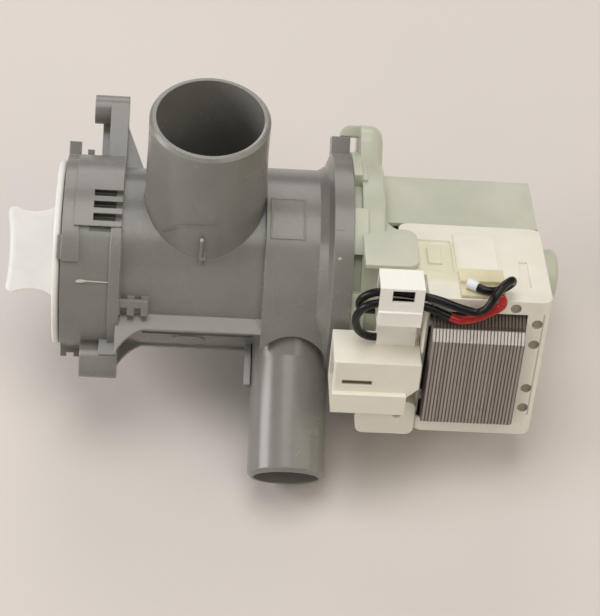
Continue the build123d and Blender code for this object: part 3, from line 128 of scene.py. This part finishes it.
class Finish:
    # one material and the nodes it is mixed from
    def __init__(self, name):
        self.material = bpy.data.materials.new(name)
        self.material.use_nodes = True
        self.tree = self.material.node_tree
        self.tree.nodes.clear()

    def node(self, kind, settings=None, sockets=None, out=0):
        made = self.tree.nodes.new("ShaderNode" + kind)
        for name, value in (settings or {}).items():
            setattr(made, name, value)
        for name, value in (sockets or {}).items():
            if isinstance(value, Wire):
                self.tree.links.new(value.socket, made.inputs[name])
            else:
                made.inputs[name].default_value = value
        return Wire(self, made.outputs[out])

    def along(self):
        # the pump's own coordinates in millimetres, x along its axis
        return self.node("Mapping", {"vector_type": "TEXTURE"}, {
            "Vector": self.node("TexCoord", out="Object"), "Location": pump["datum"],
            "Rotation": (0, math.radians(pump["tilt"]), 0), "Scale": (pump["millimetre"],) * 3})

    def mapped(self, vector, scale=(1, 1, 1), turn=(0, 0, 0)):
        return self.node("Mapping", {}, {"Vector": vector, "Scale": scale, "Rotation": turn})

    def noise(self, scale, detail, rough, vector=None, warp=0.0):
        return self.node("TexNoise", {}, {"Vector": vector or self.along(), "Scale": scale,
                                          "Detail": detail, "Roughness": rough, "Distortion": warp})

    def span(self, value, given, wanted=(0.0, 1.0)):
        # value from the given range to the wanted one, held at both ends
        return self.node("MapRange", {}, {
            "Value": value, "From Min": given[0], "From Max": given[1],
            "To Min": wanted[0], "To Max": wanted[1]})

    def mix(self, factor, first, second):
        return self.node("Mix", {"data_type": "RGBA"}, {0: factor, 6: first, 7: second}, out=2)

    def edges(self, radius):
        # 1 along the rounded edges, 0 on the open faces; the paler colour laid there is partly
        # rubbed wear and partly a painted highlight
        rounded = self.node("Bevel", {"samples": wearAndHighlight["samples"]}, {"Radius": radius})
        face = self.node("NewGeometry", out="Normal")
        dot = self.node("VectorMath", {"operation": "DOT_PRODUCT"}, {0: rounded, 1: face}, "Value")
        return self.span(1 - dot, wearAndHighlight["turned"])

    def between(self, value, limits, soft):
        # 1 between the limits, with a soft change at each
        low, high = limits
        return (self.span(value, (low - soft, low + soft))
                * self.span(value, (high + soft, high - soft)))

    def within(self, patch):
        # 1 inside a box of the motor section, and between two radii about the axis if given
        core = self.mapped(self.along(), turn=(math.radians(pump["coreAngle"]), 0, 0))
        mask = 1.0
        if "radius" in patch:
            flat = self.node("VectorMath", {"operation": "MULTIPLY"}, {0: core, 1: (0, 1, 1)})
            reach = self.node("VectorMath", {"operation": "LENGTH"}, {0: flat}, "Value")
            mask = self.between(reach, patch["radius"], patch["soft"])
        for side, (axis, sign) in coreAxes.items():
            if side in patch:
                value = self.node("SeparateXYZ", {}, {"Vector": core}, axis) * sign
                mask = mask * self.between(value, patch[side], patch["soft"])
        return mask

    def relief(self, height, radius, samples=4):
        # bumps of a height in millimetres, on edges rounded over the radius
        rounded = self.node("Bevel", {"samples": samples}, {"Radius": radius})
        return self.node("Bump", {}, {"Strength": 1.0, "Distance": pump["millimetre"],
                                      "Height": height, "Normal": rounded})

    def surface(self, sockets):
        shader = self.node("BsdfPrincipled", {}, sockets)
        end = self.tree.nodes.new("ShaderNodeOutputMaterial")
        self.tree.links.new(shader.socket, end.inputs["Surface"])
        return self.material


# what all moulded plastics share: which part of each noise shows, and what scratches do
mouldedSkin = {
    "cloud": (0.3, 0.7), "speck": (0.62, 0.75), "scratch": (0.66, 0.7), "cloudWarp": 0.4,
    "scratchScale": 2.2, "scratchStretch": (0.18, 2.6, 2.6), "scratchTurn": (0.3, 0.5, 0.2),
    "scratchDull": 0.08, "scratchDepth": 0.02, "edgeShine": 0.05, "waveScale": 0.045,
    "edgeSamples": 6, "ior": 1.49, "glowRadius": (1.0, 0.9, 0.7), "glowDepth": 0.001}


def moulded(name, look):
    # injection moulded plastic: cloudy colour, spark grain, fine scratches, paler edges that are
    # partly rubbed wear and partly a painted highlight
    look = dict(mouldedSkin, **look)
    finish = Finish(name)
    cloud = finish.noise(look["cloudScale"], detail=4.0, rough=0.6, warp=look["cloudWarp"])
    speck = finish.noise(look["speckScale"], detail=2.0, rough=0.7)
    colour = finish.mix(finish.span(cloud, look["cloud"]), look["dark"], look["light"])
    dusty = finish.span(speck, look["speck"], (0, look["dustLevel"]))
    colour = finish.mix(dusty, colour, look["dust"])
    lines = finish.mapped(finish.along(), look["scratchStretch"], look["scratchTurn"])
    scratch = finish.noise(look["scratchScale"], detail=2.0, rough=0.5, vector=lines)
    scratch = finish.span(scratch, look["scratch"])
    for patch in look.get("patches", []):
        colour = finish.mix(finish.within(patch) * patch["level"], colour, patch["colour"])
    edge = finish.edges(look["edgeRadius"])
    # paler edges: partly rubbed wear, partly a painted highlight
    colour = finish.mix(edge * look["edgeWearAndHighlight"], colour, look["edge"])
    colour = finish.mix(scratch * look["scratchLevel"], colour, look["edge"])
    rough = finish.span(cloud, look["cloud"], look["rough"])
    rough = rough - edge * look["edgeShine"] + scratch * look["scratchDull"]
    grain = finish.noise(look["grainScale"], detail=2.0, rough=0.6)
    wave = finish.noise(look["waveScale"], detail=1.0, rough=0.5)
    height = grain * look["grain"] + wave * look["sink"] - scratch * look["scratchDepth"]
    return finish.surface({
        "Base Color": colour, "Roughness": rough, "IOR": look["ior"],
        "Normal": finish.relief(height, look["edgeRadius"], look["edgeSamples"]),
        "Subsurface Weight": look.get("glow", 0.0), "Subsurface Radius": look["glowRadius"],
        "Subsurface Scale": look["glowDepth"]})


# painted shade: the floors of the comb's slots darkened to near black
combFloorShade = {"station": (-65.8, -56), "out": (3, 25), "up": (27, 41), "radius": (35.9, 38.9),
              "soft": 0.15, "level": 0.85, "colour": tone(52, 50, 46)}
housingLook = {
    "dark": tone(127, 125, 119), "light": tone(139, 137, 131), "dust": tone(114, 112, 106),
    "dustLevel": 0.16, "edge": tone(180, 178, 170), "edgeWearAndHighlight": 0.55, "edgeRadius": 0.0005,
    "scratchLevel": 0.06, "cloudScale": 0.035, "speckScale": 1.6, "grainScale": 3.2,
    "grain": 0.02, "sink": 0.1, "rough": (0.21, 0.3), "ior": 1.56, "patches": [combFloorShade]}
# painted shade: a darker housing colour for the strand along the gap line between the inlet's base
# and the volute
seamShadeLook = dict(housingLook, dark=tone(92, 89, 85), light=tone(104, 101, 96))
# pale moulding flash; the same pale colour also paints the highlight on the inlet's rim and the
# glint on the ring's gate mark
flashAndHighlightLook = dict(housingLook, dark=tone(188, 185, 178), light=tone(206, 203, 196),
                 rough=(0.24, 0.3))
capLook = {
    "dark": tone(234, 231, 227), "light": tone(243, 241, 237), "dust": tone(212, 208, 203),
    "dustLevel": 0.1, "edge": tone(250, 249, 246), "edgeWearAndHighlight": 0.4, "edgeRadius": 0.0005,
    "scratchLevel": 0.06, "cloudScale": 0.06, "speckScale": 1.2, "grainScale": 3.0,
    "grain": 0.025, "sink": 0.2, "rough": (0.36, 0.46), "glow": 0.25, "glowDepth": 0.0015}
strainerLook = dict(capLook, dark=tone(222, 219, 212), light=tone(234, 231, 225),
                    scratchLevel=0.1)
impellerLook = dict(capLook, dark=tone(214, 212, 206), light=tone(228, 226, 221),
                    rough=(0.3, 0.4))
flangeLook = {
    "dark": tone(192, 195, 177), "light": tone(208, 209, 192), "dust": tone(176, 178, 158),
    "dustLevel": 0.15, "edge": tone(222, 223, 208), "edgeWearAndHighlight": 0.45, "edgeRadius": 0.0006,
    "scratchLevel": 0.06, "cloudScale": 0.035, "speckScale": 1.4, "grainScale": 2.4,
    "grain": 0.02, "sink": 0.3, "rough": (0.28, 0.38), "glow": 0.35, "glowDepth": 0.003,
    "glowRadius": (1.0, 1.0, 0.75)}

# the pocket's thin floor lets the green part behind show through, painted here as a greenish patch;
# the pit below the block is darkened with painted shade
pocketFloor = {"station": (58.5, 73.5), "out": (26, 51), "up": (28, 33), "soft": 1.2,
               "level": 0.75, "colour": tone(222, 221, 188)}
blockPitShade = {"station": (78.9, 79.7), "out": (63, 65.2), "up": (30, 33), "soft": 0.25,
            "level": 0.7, "colour": tone(120, 112, 92)}
# painted shade on the floors of the blind holes beside the core, in two places, and inside the slot
# in the connector
holeFloorShade = {"station": (99.8, 104.6), "out": (60.6, 62.0), "up": (-22, 26), "soft": 0.12,
              "level": 0.75, "colour": tone(132, 124, 106)}
upperHoleFloorShade = dict(holeFloorShade, station=(90.8, 95.8), up=(25.8, 30.6))
connectorSlotShade = {"station": (31.4, 42.8), "up": (-5.9, -4.1), "soft": 0.1, "level": 0.8,
                 "colour": tone(92, 82, 58)}
coverLook = {
    "dark": tone(236, 231, 216), "light": tone(244, 240, 228), "dust": tone(210, 203, 186),
    "dustLevel": 0.14, "edge": tone(250, 248, 241), "edgeWearAndHighlight": 0.4, "edgeRadius": 0.0004,
    "scratchLevel": 0.05, "cloudScale": 0.05, "speckScale": 1.8, "grainScale": 2.8,
    "grain": 0.03, "sink": 0.2, "rough": (0.34, 0.46), "glow": 0.15,
    "patches": [pocketFloor, blockPitShade, holeFloorShade, upperHoleFloorShade, connectorSlotShade]}
clipLook = dict(coverLook, dark=tone(247, 244, 235), light=tone(252, 250, 243))
blockLook = dict(coverLook, dark=tone(214, 204, 164), light=tone(230, 222, 190),
                 dust=tone(190, 176, 130), edge=tone(240, 234, 208), glow=0.5,
                 glowDepth=0.003, rough=(0.3, 0.4))
bobbinLook = dict(coverLook, dark=tone(224, 220, 210), light=tone(236, 233, 225))
ferruleLook = dict(coverLook, dark=tone(226, 228, 230), light=tone(238, 240, 242), glow=0.2)

rubberSkin = {"cloudScale": 0.12, "cloud": (0.35, 0.65), "bloomScale": 0.5,
              "bloom": (0.55, 0.8), "dull": (0.3, 0.7), "grainScale": 4.0,
              "edgeRadius": 0.0003, "ior": 1.5, "shine": 0.5}


def rubber(name, look):
    # seals and lead insulation: near black or red, with a pale bloom in patches
    look = dict(rubberSkin, **look)
    finish = Finish(name)
    cloud = finish.noise(look["cloudScale"], detail=4.0, rough=0.6)
    bloom = finish.noise(look["bloomScale"], detail=5.0, rough=0.7)
    colour = finish.mix(finish.span(cloud, look["cloud"]), look["dark"], look["light"])
    dusty = finish.span(bloom, look["bloom"], (0, look["dustLevel"]))
    colour = finish.mix(dusty, colour, look["dust"])
    grain = finish.noise(look["grainScale"], detail=2.0, rough=0.6)
    return finish.surface({
        "Base Color": colour, "Roughness": finish.span(bloom, look["dull"], look["rough"]),
        "Normal": finish.relief(grain * look["grain"], look["edgeRadius"]),
        "IOR": look["ior"], "Specular IOR Level": look["shine"]})


sealLook = {"dark": tone(28, 28, 29), "light": tone(40, 40, 41), "dust": tone(92, 90, 86),
            "dustLevel": 0.4, "rough": (0.5, 0.68), "grain": 0.03}
blackLeadLook = {"dark": tone(15, 13, 13), "light": tone(25, 22, 22), "dust": tone(60, 54, 52),
                 "dustLevel": 0.15, "rough": (0.24, 0.34), "grain": 0.015, "shine": 0.32}
redLeadLook = {"dark": tone(166, 30, 27), "light": tone(196, 46, 38),
               "dust": tone(206, 104, 92), "dustLevel": 0.2, "rough": (0.2, 0.32),
               "grain": 0.015, "shine": 0.4}

metalSkin = {"stainScale": 0.35, "stainWarp": 0.6, "streaks": (0.3, 0.7), "stains": (0.55, 0.75),
             "stainDull": 0.12, "edgeRadius": 0.0002, "edgeWearAndHighlight": 0.5}


def metal(name, look):
    # drawn or pressed metal: streaks along the axis, stains, brighter edges that are partly rubbed
    # wear and partly a painted highlight
    look = dict(metalSkin, **look)
    finish = Finish(name)
    lines = finish.mapped(finish.along(), look["stretch"])
    streak = finish.noise(1.0, detail=4.0, rough=0.6, vector=lines)
    stain = finish.noise(look["stainScale"], detail=5.0, rough=0.65, warp=look["stainWarp"])
    colour = finish.mix(finish.span(streak, look["streaks"]), look["dark"], look["light"])
    stained = finish.span(stain, look["stains"], (0, look["stainLevel"]))
    colour = finish.mix(stained, colour, look["stained"])
    # brighter edges: partly rubbed wear, partly a painted highlight
    colour = finish.mix(finish.edges(look["edgeRadius"]) * look["edgeWearAndHighlight"], colour, look["edge"])
    rough = (finish.span(streak, look["streaks"], look["rough"])
             + finish.span(stain, look["stains"], (0, look["stainDull"])))
    return finish.surface({
        "Base Color": colour, "Roughness": rough, "Metallic": look["metallic"],
        "Normal": finish.relief(streak * look["grain"], look["edgeRadius"])})


steelLook = {"dark": tone(168, 168, 170), "light": tone(196, 196, 198),
             "stained": tone(120, 112, 104), "stainLevel": 0.3, "edge": tone(220, 220, 222),
             "stretch": (0.15, 6.0, 6.0), "rough": (0.22, 0.36), "grain": 0.01, "metallic": 1.0}
ferriteLook = {"dark": tone(44, 44, 46), "light": tone(66, 66, 68),
               "stained": tone(86, 84, 82), "stainLevel": 0.4, "edge": tone(104, 104, 106),
               "stretch": (2.0, 2.0, 2.0), "rough": (0.5, 0.62), "grain": 0.05, "metallic": 0.3}
bearingLook = {"dark": tone(158, 116, 70), "light": tone(190, 146, 94),
               "stained": tone(96, 70, 44), "stainLevel": 0.6, "edge": tone(214, 176, 124),
               "stretch": (3.0, 3.0, 3.0), "rough": (0.34, 0.5), "grain": 0.05, "metallic": 1.0}
brassLook = {"dark": tone(196, 190, 176), "light": tone(216, 211, 198),
             "stained": tone(168, 148, 104), "stainLevel": 0.5, "edge": tone(232, 228, 218),
             "stretch": (0.6, 5.0, 5.0), "rough": (0.26, 0.4), "grain": 0.01, "metallic": 1.0}

stackLook = {
    "front": 63.4, "thickness": 34.4, "sheets": 27,
    "dark": tone(150, 143, 138), "light": tone(182, 175, 169), "shadeShare": 0.35,
    "tornShare": 0.5, "tint": (0.15, 0.75), "tornStretch": (7.0, 0.6, 0.6), "torn": (0.3, 0.7),
    # the sheets' upper ends are in shade, and catch the light below that
    "top": tone(70, 60, 48), "topBand": {"up": (19.6, 30), "soft": 0.2},
    "glint": tone(240, 236, 230), "glintBand": {"up": (15.2, 19.6), "out": (40, 80), "soft": 0.2},
    "bandLevel": 0.85, "rust": tone(134, 116, 98), "rustLevel": 0.35, "rustScale": 0.16,
    "rustWarp": 0.5, "stains": (0.56, 0.72), "seam": tone(84, 77, 72), "seamLevel": 0.6,
    "seamDull": 0.3, "gap": (0.66, 0.74), "rough": (0.34, 0.48), "metallic": 0.45,
    "edgeRadius": 0.00015, "grain": 0.04}


def laminations(name, look):
    # sheet steel seen on edge: each sheet has its own shade, and its cut edge is streaked across;
    # the joints between sheets carry painted shade
    finish = Finish(name)
    along = finish.along()
    reach = finish.node("SeparateXYZ", {}, {"Vector": along}, out="X")
    count = (reach - look["front"]) / (look["thickness"] / look["sheets"])
    sheet = finish.node("Math", {"operation": "FLOOR"}, {0: count})
    part = finish.node("Math", {"operation": "FRACT"}, {0: count})
    shade = finish.node("TexWhiteNoise", {"noise_dimensions": "1D"}, {"W": sheet})
    torn = finish.noise(1.0, detail=4.0, rough=0.6,
                        vector=finish.mapped(along, look["tornStretch"]))
    stain = finish.noise(look["rustScale"], detail=5.0, rough=0.65, warp=look["rustWarp"])
    tint = finish.span(shade * look["shadeShare"] + torn * look["tornShare"], look["tint"])
    colour = finish.mix(tint, look["dark"], look["light"])
    for band, shown in (("topBand", "top"), ("glintBand", "glint")):
        mask = finish.within(look[band]) * look["bandLevel"]
        colour = finish.mix(mask, colour, look[shown])
    rusty = finish.span(stain, look["stains"], (0, look["rustLevel"]))
    colour = finish.mix(rusty, colour, look["rust"])
    # painted shade in the joints between sheets
    gap = finish.span(part, look["gap"])
    colour = finish.mix(gap * look["seamLevel"], colour, look["seam"])
    rough = finish.span(torn, look["torn"], look["rough"]) + gap * look["seamDull"]
    return finish.surface({
        "Base Color": colour, "Roughness": rough, "Metallic": look["metallic"],
        "Normal": finish.relief(torn * look["grain"], look["edgeRadius"])})


coilLook = {"dark": tone(140, 62, 30), "light": tone(190, 96, 52), "turnGapShade": tone(46, 18, 10),
            "turnScale": 0.7, "turnWarp": 0.3, "lean": 0.277, "grooves": (0.0, 0.35),
            "grooveLevel": (0.7, 0.0), "shadeScale": 0.5, "shades": (0.3, 0.7),
            "rough": (0.2, 0.34), "metallic": 0.75, "height": 0.12, "enamel": 0.4,
            "enamelRough": 0.15}


def windings(name, look):
    # enamelled copper wire laid in turns round the core's legs, with painted shade in the gaps
    # between turns
    finish = Finish(name)
    turn = finish.node(
        "TexWave", {"wave_type": "BANDS", "bands_direction": "Y", "wave_profile": "SIN"},
        {"Vector": finish.mapped(finish.along(), turn=(look["lean"], 0, 0)),
         "Scale": look["turnScale"], "Distortion": look["turnWarp"], "Detail": 1.0})
    shade = finish.noise(look["shadeScale"], detail=3.0, rough=0.6)
    colour = finish.mix(finish.span(shade, look["shades"]), look["dark"], look["light"])
    # painted shade in the gaps between turns of wire
    turnGapShade = finish.span(turn, look["grooves"], look["grooveLevel"])
    colour = finish.mix(turnGapShade, colour, look["turnGapShade"])
    bump = finish.node("Bump", {}, {"Strength": 1.0, "Distance": pump["millimetre"],
                                    "Height": turn * look["height"]})
    return finish.surface({
        "Base Color": colour, "Roughness": finish.span(shade, look["shades"], look["rough"]),
        "Normal": bump, "Metallic": look["metallic"], "Coat Weight": look["enamel"],
        "Coat Roughness": look["enamelRough"]})


finishes = {name: mixed(name, look) for name, mixed, look in (
    ("housingGrey", moulded, housingLook), ("housingDark", moulded, seamShadeLook),
    ("flashPale", moulded, flashAndHighlightLook), ("capWhite", moulded, capLook),
    ("strainerWhite", moulded, strainerLook), ("impellerWhite", moulded, impellerLook),
    ("flangeGreen", moulded, flangeLook), ("coverCream", moulded, coverLook),
    ("blockYellow", moulded, blockLook), ("bobbinWhite", moulded, bobbinLook),
    ("ferruleWhite", moulded, ferruleLook), ("sealBlack", rubber, sealLook),
    ("clipCream", moulded, clipLook), ("leadBlack", rubber, blackLeadLook),
    ("leadRed", rubber, redLeadLook), ("steel", metal, steelLook),
    ("ferrite", metal, ferriteLook), ("bearingBronze", metal, bearingLook),
    ("tinnedBrass", metal, brassLook), ("sheetSteel", laminations, stackLook),
    ("copper", windings, coilLook))}
print("finishes mixed:", len(finishes))

worn = {
    "housingGrey": ["pump_housing"],
    "capWhite": ["filter_cap"],
    "strainerWhite": ["filter_strainer"],
    "impellerWhite": ["impeller", "impeller_driver"],
    "flangeGreen": ["bearing_block", "motor_flange", "stator_shell"],
    "coverCream": ["coil_cover", "connector_housing"],
    "clipCream": ["lead_clip"],
    "blockYellow": ["terminal_block"],
    "bobbinWhite": ["magnet_carrier", "upper_bobbin", "lower_bobbin"],
    "ferruleWhite": ["lead_ferrule"],
    "sealBlack": ["filter_seal", "flange_seal", "shaft_seal", "rear_bearing_mount"],
    "leadBlack": ["upper_lead", "lower_lead"],
    "leadRed": ["red_lead"],
    "steel": ["rotor_shaft", "front_thrust_washer", "rear_thrust_washer", "core_rivets"],
    "ferrite": ["rotor_magnet"],
    "bearingBronze": ["front_bearing", "rear_bearing"],
    "tinnedBrass": ["lead_terminals", "connector_pins"],
    "sheetSteel": ["lamination_stack"],
    "copper": ["upper_winding", "lower_winding"]}
for finish, wearers in worn.items():
    for name in wearers:
        slots = nodes[name].data.materials
        slots.clear()
        slots.append(finishes[finish])
bare = set(nodes) - {name for wearers in worn.values() for name in wearers}
print("finishes on the nodes; without one:", sorted(bare))

smoothAngle = 40  # edges sharper than this many degrees stay sharp


def startPiece(name):
    # the primitive just added, named, with its place applied to its mesh
    piece = bpy.context.object
    piece.name = name
    piece.data.name = name
    bpy.ops.object.transform_apply(location=True, rotation=True, scale=True)
    return piece


def closePiece(piece, finish):
    # out of edit mode, with normals outwards and the finish on
    bpy.ops.mesh.normals_make_consistent(inside=False)
    bpy.ops.object.mode_set(mode="OBJECT")
    bpy.ops.object.shade_smooth_by_angle(angle=math.radians(smoothAngle))
    piece.data.materials.append(finishes[finish])


def thread(name, finish, sides, points):
    # a strand of round section through the points, each a place and a radius in millimetres
    bpy.ops.object.select_all(action="DESELECT")
    first, width = points[0]
    turn = (points[1][0] - first).to_track_quat("Z", "Y").to_euler()
    bpy.ops.mesh.primitive_circle_add(vertices=sides, radius=width * pump["millimetre"],
                                      fill_type="NGON", location=first, rotation=turn)
    piece = startPiece(name)
    bpy.ops.object.mode_set(mode="EDIT")
    bpy.ops.mesh.select_all(action="SELECT")
    for (here, width), (there, following) in zip(points, points[1:]):
        bpy.ops.mesh.extrude_region_move(TRANSFORM_OT_translate={"value": there - here})
        bpy.ops.transform.resize(value=(following / width,) * 3, center_override=there)
    bpy.ops.mesh.select_all(action="SELECT")
    bpy.ops.mesh.fill_holes(sides=0)
    closePiece(piece, finish)
    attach(piece, "housing")


# traces of moulding about the pump's axis; a point is station, radius, angle, strand's radius
barrelTraces = {
    "collar_flash": {"finish": "flashPale", "sides": 10, "points": [
        (-69.9, 37.6, 34.4, 0.3), (-69.4, 37.7, 34.4, 0.6), (-68.4, 37.7, 34.5, 0.78),
        (-67.2, 37.7, 34.6, 0.6), (-65.6, 37.7, 34.7, 0.34), (-62, 37.7, 34.6, 0.28),
        (-58.5, 37.7, 34.5, 0.27), (-56.4, 37.7, 34.2, 0.2)]},
    "ring_seam": {"finish": "housingGrey", "sides": 6, "points": [
        (27.3, 44, 68.8, 0.14), (30.6, 44, 68.9, 0.14)]},
    # a raised gate mark; its pale colour is partly a painted glint
    "ring_gate_glint": {"finish": "flashPale", "sides": 12, "points": [
        (28.6, 43.9, 54.3, 0.5), (29.3, 44, 54.3, 0.75), (30.0, 43.9, 54.3, 0.5)]}}

# the inlet's wall narrows as it rises, and the seam stands a hair proud of it
# the strand's darker colour is painted shade of the gap line between the inlet's base and the
# volute
inletSeam = {"radius": 24.3, "rise": 24, "taper": 0.032, "proud": 0.02, "strand": 0.16,
             "route": [(33.5, -42.9), (35.0, -39.4), (38.5, -30.9), (41.4, -22.6),
                       (43.3, -10), (44, 2.2), (44, 12)]}
# a painted highlight: a thin pale strand round part of the inlet's mouth, thickest in its middle
inletRimHighlight = {"rise": 77.15, "radius": 20.65, "start": 88, "step": 6, "points": 12,
             "thin": 0.1, "swell": 0.28}


def seamPoints(seam):
    return [(rise, seam["radius"] - seam["taper"] * (rise - seam["rise"]) + seam["proud"],
             angle, seam["strand"]) for rise, angle in seam["route"]]


def rimHighlightPoints(rimHighlight):
    last = rimHighlight["points"] - 1
    return [(rimHighlight["rise"], rimHighlight["radius"], rimHighlight["start"] - rimHighlight["step"] * index,
             rimHighlight["thin"] + rimHighlight["swell"] * math.sin(math.pi * index / last))
            for index in range(rimHighlight["points"])]


# traces about the inlet's axis; a point is rise, radius, angle, strand's radius
inletTraces = {
    "gate_stub": {"finish": "housingGrey", "sides": 14, "points": [
        (23.5, 24.5, -1.7, 0.85), (30, 24.45, -1.7, 0.8), (36.6, 24.4, -1.8, 0.75)]},
    "gate_stub_tip": {"finish": "flashPale", "sides": 14, "points": [
        (36.5, 24.4, -1.8, 0.75), (37.2, 24.4, -1.8, 0.72), (37.6, 24.4, -1.8, 0.4)]},
    # a proud seam strand, darkened as painted shade
    "inlet_seam": {"finish": "housingDark", "sides": 6, "points": seamPoints(inletSeam)},
    # a pale strand painting a highlight on the inlet's rim
    "inlet_rim_highlight": {"finish": "flashPale", "sides": 8, "points": rimHighlightPoints(inletRimHighlight)}}
for placed, traces in ((aroundAxis, barrelTraces), (aroundInlet, inletTraces)):
    for name, trace in traces.items():
        thread(name, trace["finish"], trace["sides"],
               [(placed(*point[:3]), point[3]) for point in trace["points"]])
print("moulding traces made")

clipLedge = {"station": (42.3, 58.5), "out": (57.5, 66.5), "up": (20.5, 26.9), "rim": 1.4,
             "recess": 0.25, "round": 0.35, "segments": 3}


def ledge(name, finish, look):
    # a block of the motor section with a shallow recess in its front and rounded edges
    low, high = ([look[side][end] for side in coreAxes] for end in (0, 1))
    station, out, up = ((a + b) / 2 for a, b in zip(low, high))
    turn = tiltTurn() @ Matrix.Rotation(-math.radians(pump["coreAngle"]), 3, "X")
    middle = Vector((station, -out, up)) * pump["millimetre"]
    bpy.ops.object.select_all(action="DESELECT")
    bpy.ops.mesh.primitive_cube_add(
        size=1, location=Vector(pump["datum"]) + turn @ middle, rotation=turn.to_euler(),
        scale=[(b - a) * pump["millimetre"] for a, b in zip(low, high)])
    piece = startPiece(name)
    front = (turn @ Vector((0, -1, 0))).normalized()
    faceOn = 0.99  # a face whose normal is this near the front direction is the front
    for face in piece.data.polygons:
        face.select = face.normal.dot(front) > faceOn
    for part in [*piece.data.edges, *piece.data.vertices]:
        part.select = False
    bpy.ops.object.mode_set(mode="EDIT")
    bpy.ops.mesh.select_mode(type="FACE")
    bpy.ops.mesh.inset(thickness=look["rim"] * pump["millimetre"])
    bpy.ops.transform.translate(value=-front * look["recess"] * pump["millimetre"])
    bpy.ops.mesh.select_all(action="SELECT")
    bpy.ops.mesh.bevel(offset=look["round"] * pump["millimetre"], segments=look["segments"],
                       affect="EDGES")
    closePiece(piece, finish)
    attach(piece, "housing")


ledge("clip_ledge", "clipCream", clipLedge)
print("ledge made")

paper = {"light": tone(219, 212, 207), "dark": tone(213, 206, 202), "darkLevel": 0.25,
         "cloudScale": 0.004, "cloud": (0.3, 0.7), "fibreScale": 0.9, "fibreStrength": 0.3,
         "fibreHeight": 0.0002, "rough": 0.75, "shine": 0.25, "size": 24.0, "drop": 0.00005}


def paperFinish(look):
    finish = Finish("studioPaper")
    cloud = finish.noise(look["cloudScale"], detail=3.0, rough=0.5)
    fibre = finish.noise(look["fibreScale"], detail=3.0, rough=0.6)
    darker = finish.span(cloud, look["cloud"], (0, look["darkLevel"]))
    bump = finish.node("Bump", {}, {"Strength": look["fibreStrength"],
                                    "Distance": look["fibreHeight"], "Height": fibre})
    return finish.surface({
        "Base Color": finish.mix(darker, look["light"], look["dark"]),
        "Roughness": look["rough"], "Normal": bump, "Specular IOR Level": look["shine"]})


bpy.ops.object.select_all(action="DESELECT")
bpy.ops.mesh.primitive_plane_add(size=paper["size"], location=(0, 0, cadLow.z - paper["drop"]))
floor = bpy.context.object
floor.name = "floor"
floor.data.materials.append(paperFinish(paper))

# all lamps look at one place; each has its place, size, watts and colour
lampAim = (0.0, 0.0, 0.04)
lamps = {
    "leftLamp": ((-1.1, 0.0, 0.6), 0.7, 7.2, (1.0, 0.985, 0.975)),
    "frontLeftLamp": ((-0.7, -0.8, 0.7), 0.8, 1.7, (1.0, 0.97, 0.93)),
    "lowFrontLamp": ((0.0, -1.2, 0.35), 0.8, 0.5, (1.0, 0.97, 0.93)),
    "rightLamp": ((1.1, 0.0, 0.6), 0.7, 1.7, (1.0, 0.95, 0.84)),
    "frontRightLamp": ((0.8, -0.65, 0.95), 0.9, 4.2, (1.0, 0.95, 0.84)),
    "backLamp": ((0.0, 1.0, 0.7), 0.8, 3.4, (1.0, 0.975, 0.975)),
    "topLamp": ((0.1, 0.1, 1.5), 1.1, 9.4, (1.0, 0.985, 0.975))}
for name, (place, size, watts, colour) in lamps.items():
    data = bpy.data.lights.new(name, "AREA")
    data.shape = "DISK"
    data.size = size
    data.energy = watts
    data.color = colour
    lamp = bpy.data.objects.new(name, data)
    scene.collection.objects.link(lamp)
    lamp.location = place
    lamp.rotation_euler = (Vector(lampAim) - Vector(place)).to_track_quat("-Z", "Y").to_euler()

sky = {"colour": tone(226, 222, 216), "level": 0.13}
world = bpy.data.worlds.new("studioWorld")
scene.world = world
world.use_nodes = True
background = world.node_tree.nodes["Background"].inputs
background["Color"].default_value = sky["colour"]
background["Strength"].default_value = sky["level"]

# the viewpoint of the photograph: place, and the camera's right, up and back directions
view = {"place": (0.0504195, -0.516348, 0.7045435), "right": (0.997745, -0.001847, -0.067094),
        "up": (0.042282, 0.793636, 0.606922), "back": (0.052127, -0.608390, 0.791924),
        "lens": 127.5, "sensor": 36.0}
cameraData = bpy.data.cameras.new("camera")
camera = bpy.data.objects.new("camera", cameraData)
scene.collection.objects.link(camera)
turn = Matrix((view["right"], view["up"], view["back"])).transposed().to_4x4()
camera.matrix_world = Matrix.Translation(view["place"]) @ turn
cameraData.sensor_fit = "HORIZONTAL"
cameraData.sensor_width = view["sensor"]
cameraData.lens = view["lens"]
scene.camera = camera
scene.view_settings.view_transform = "Standard"
print("studio set")
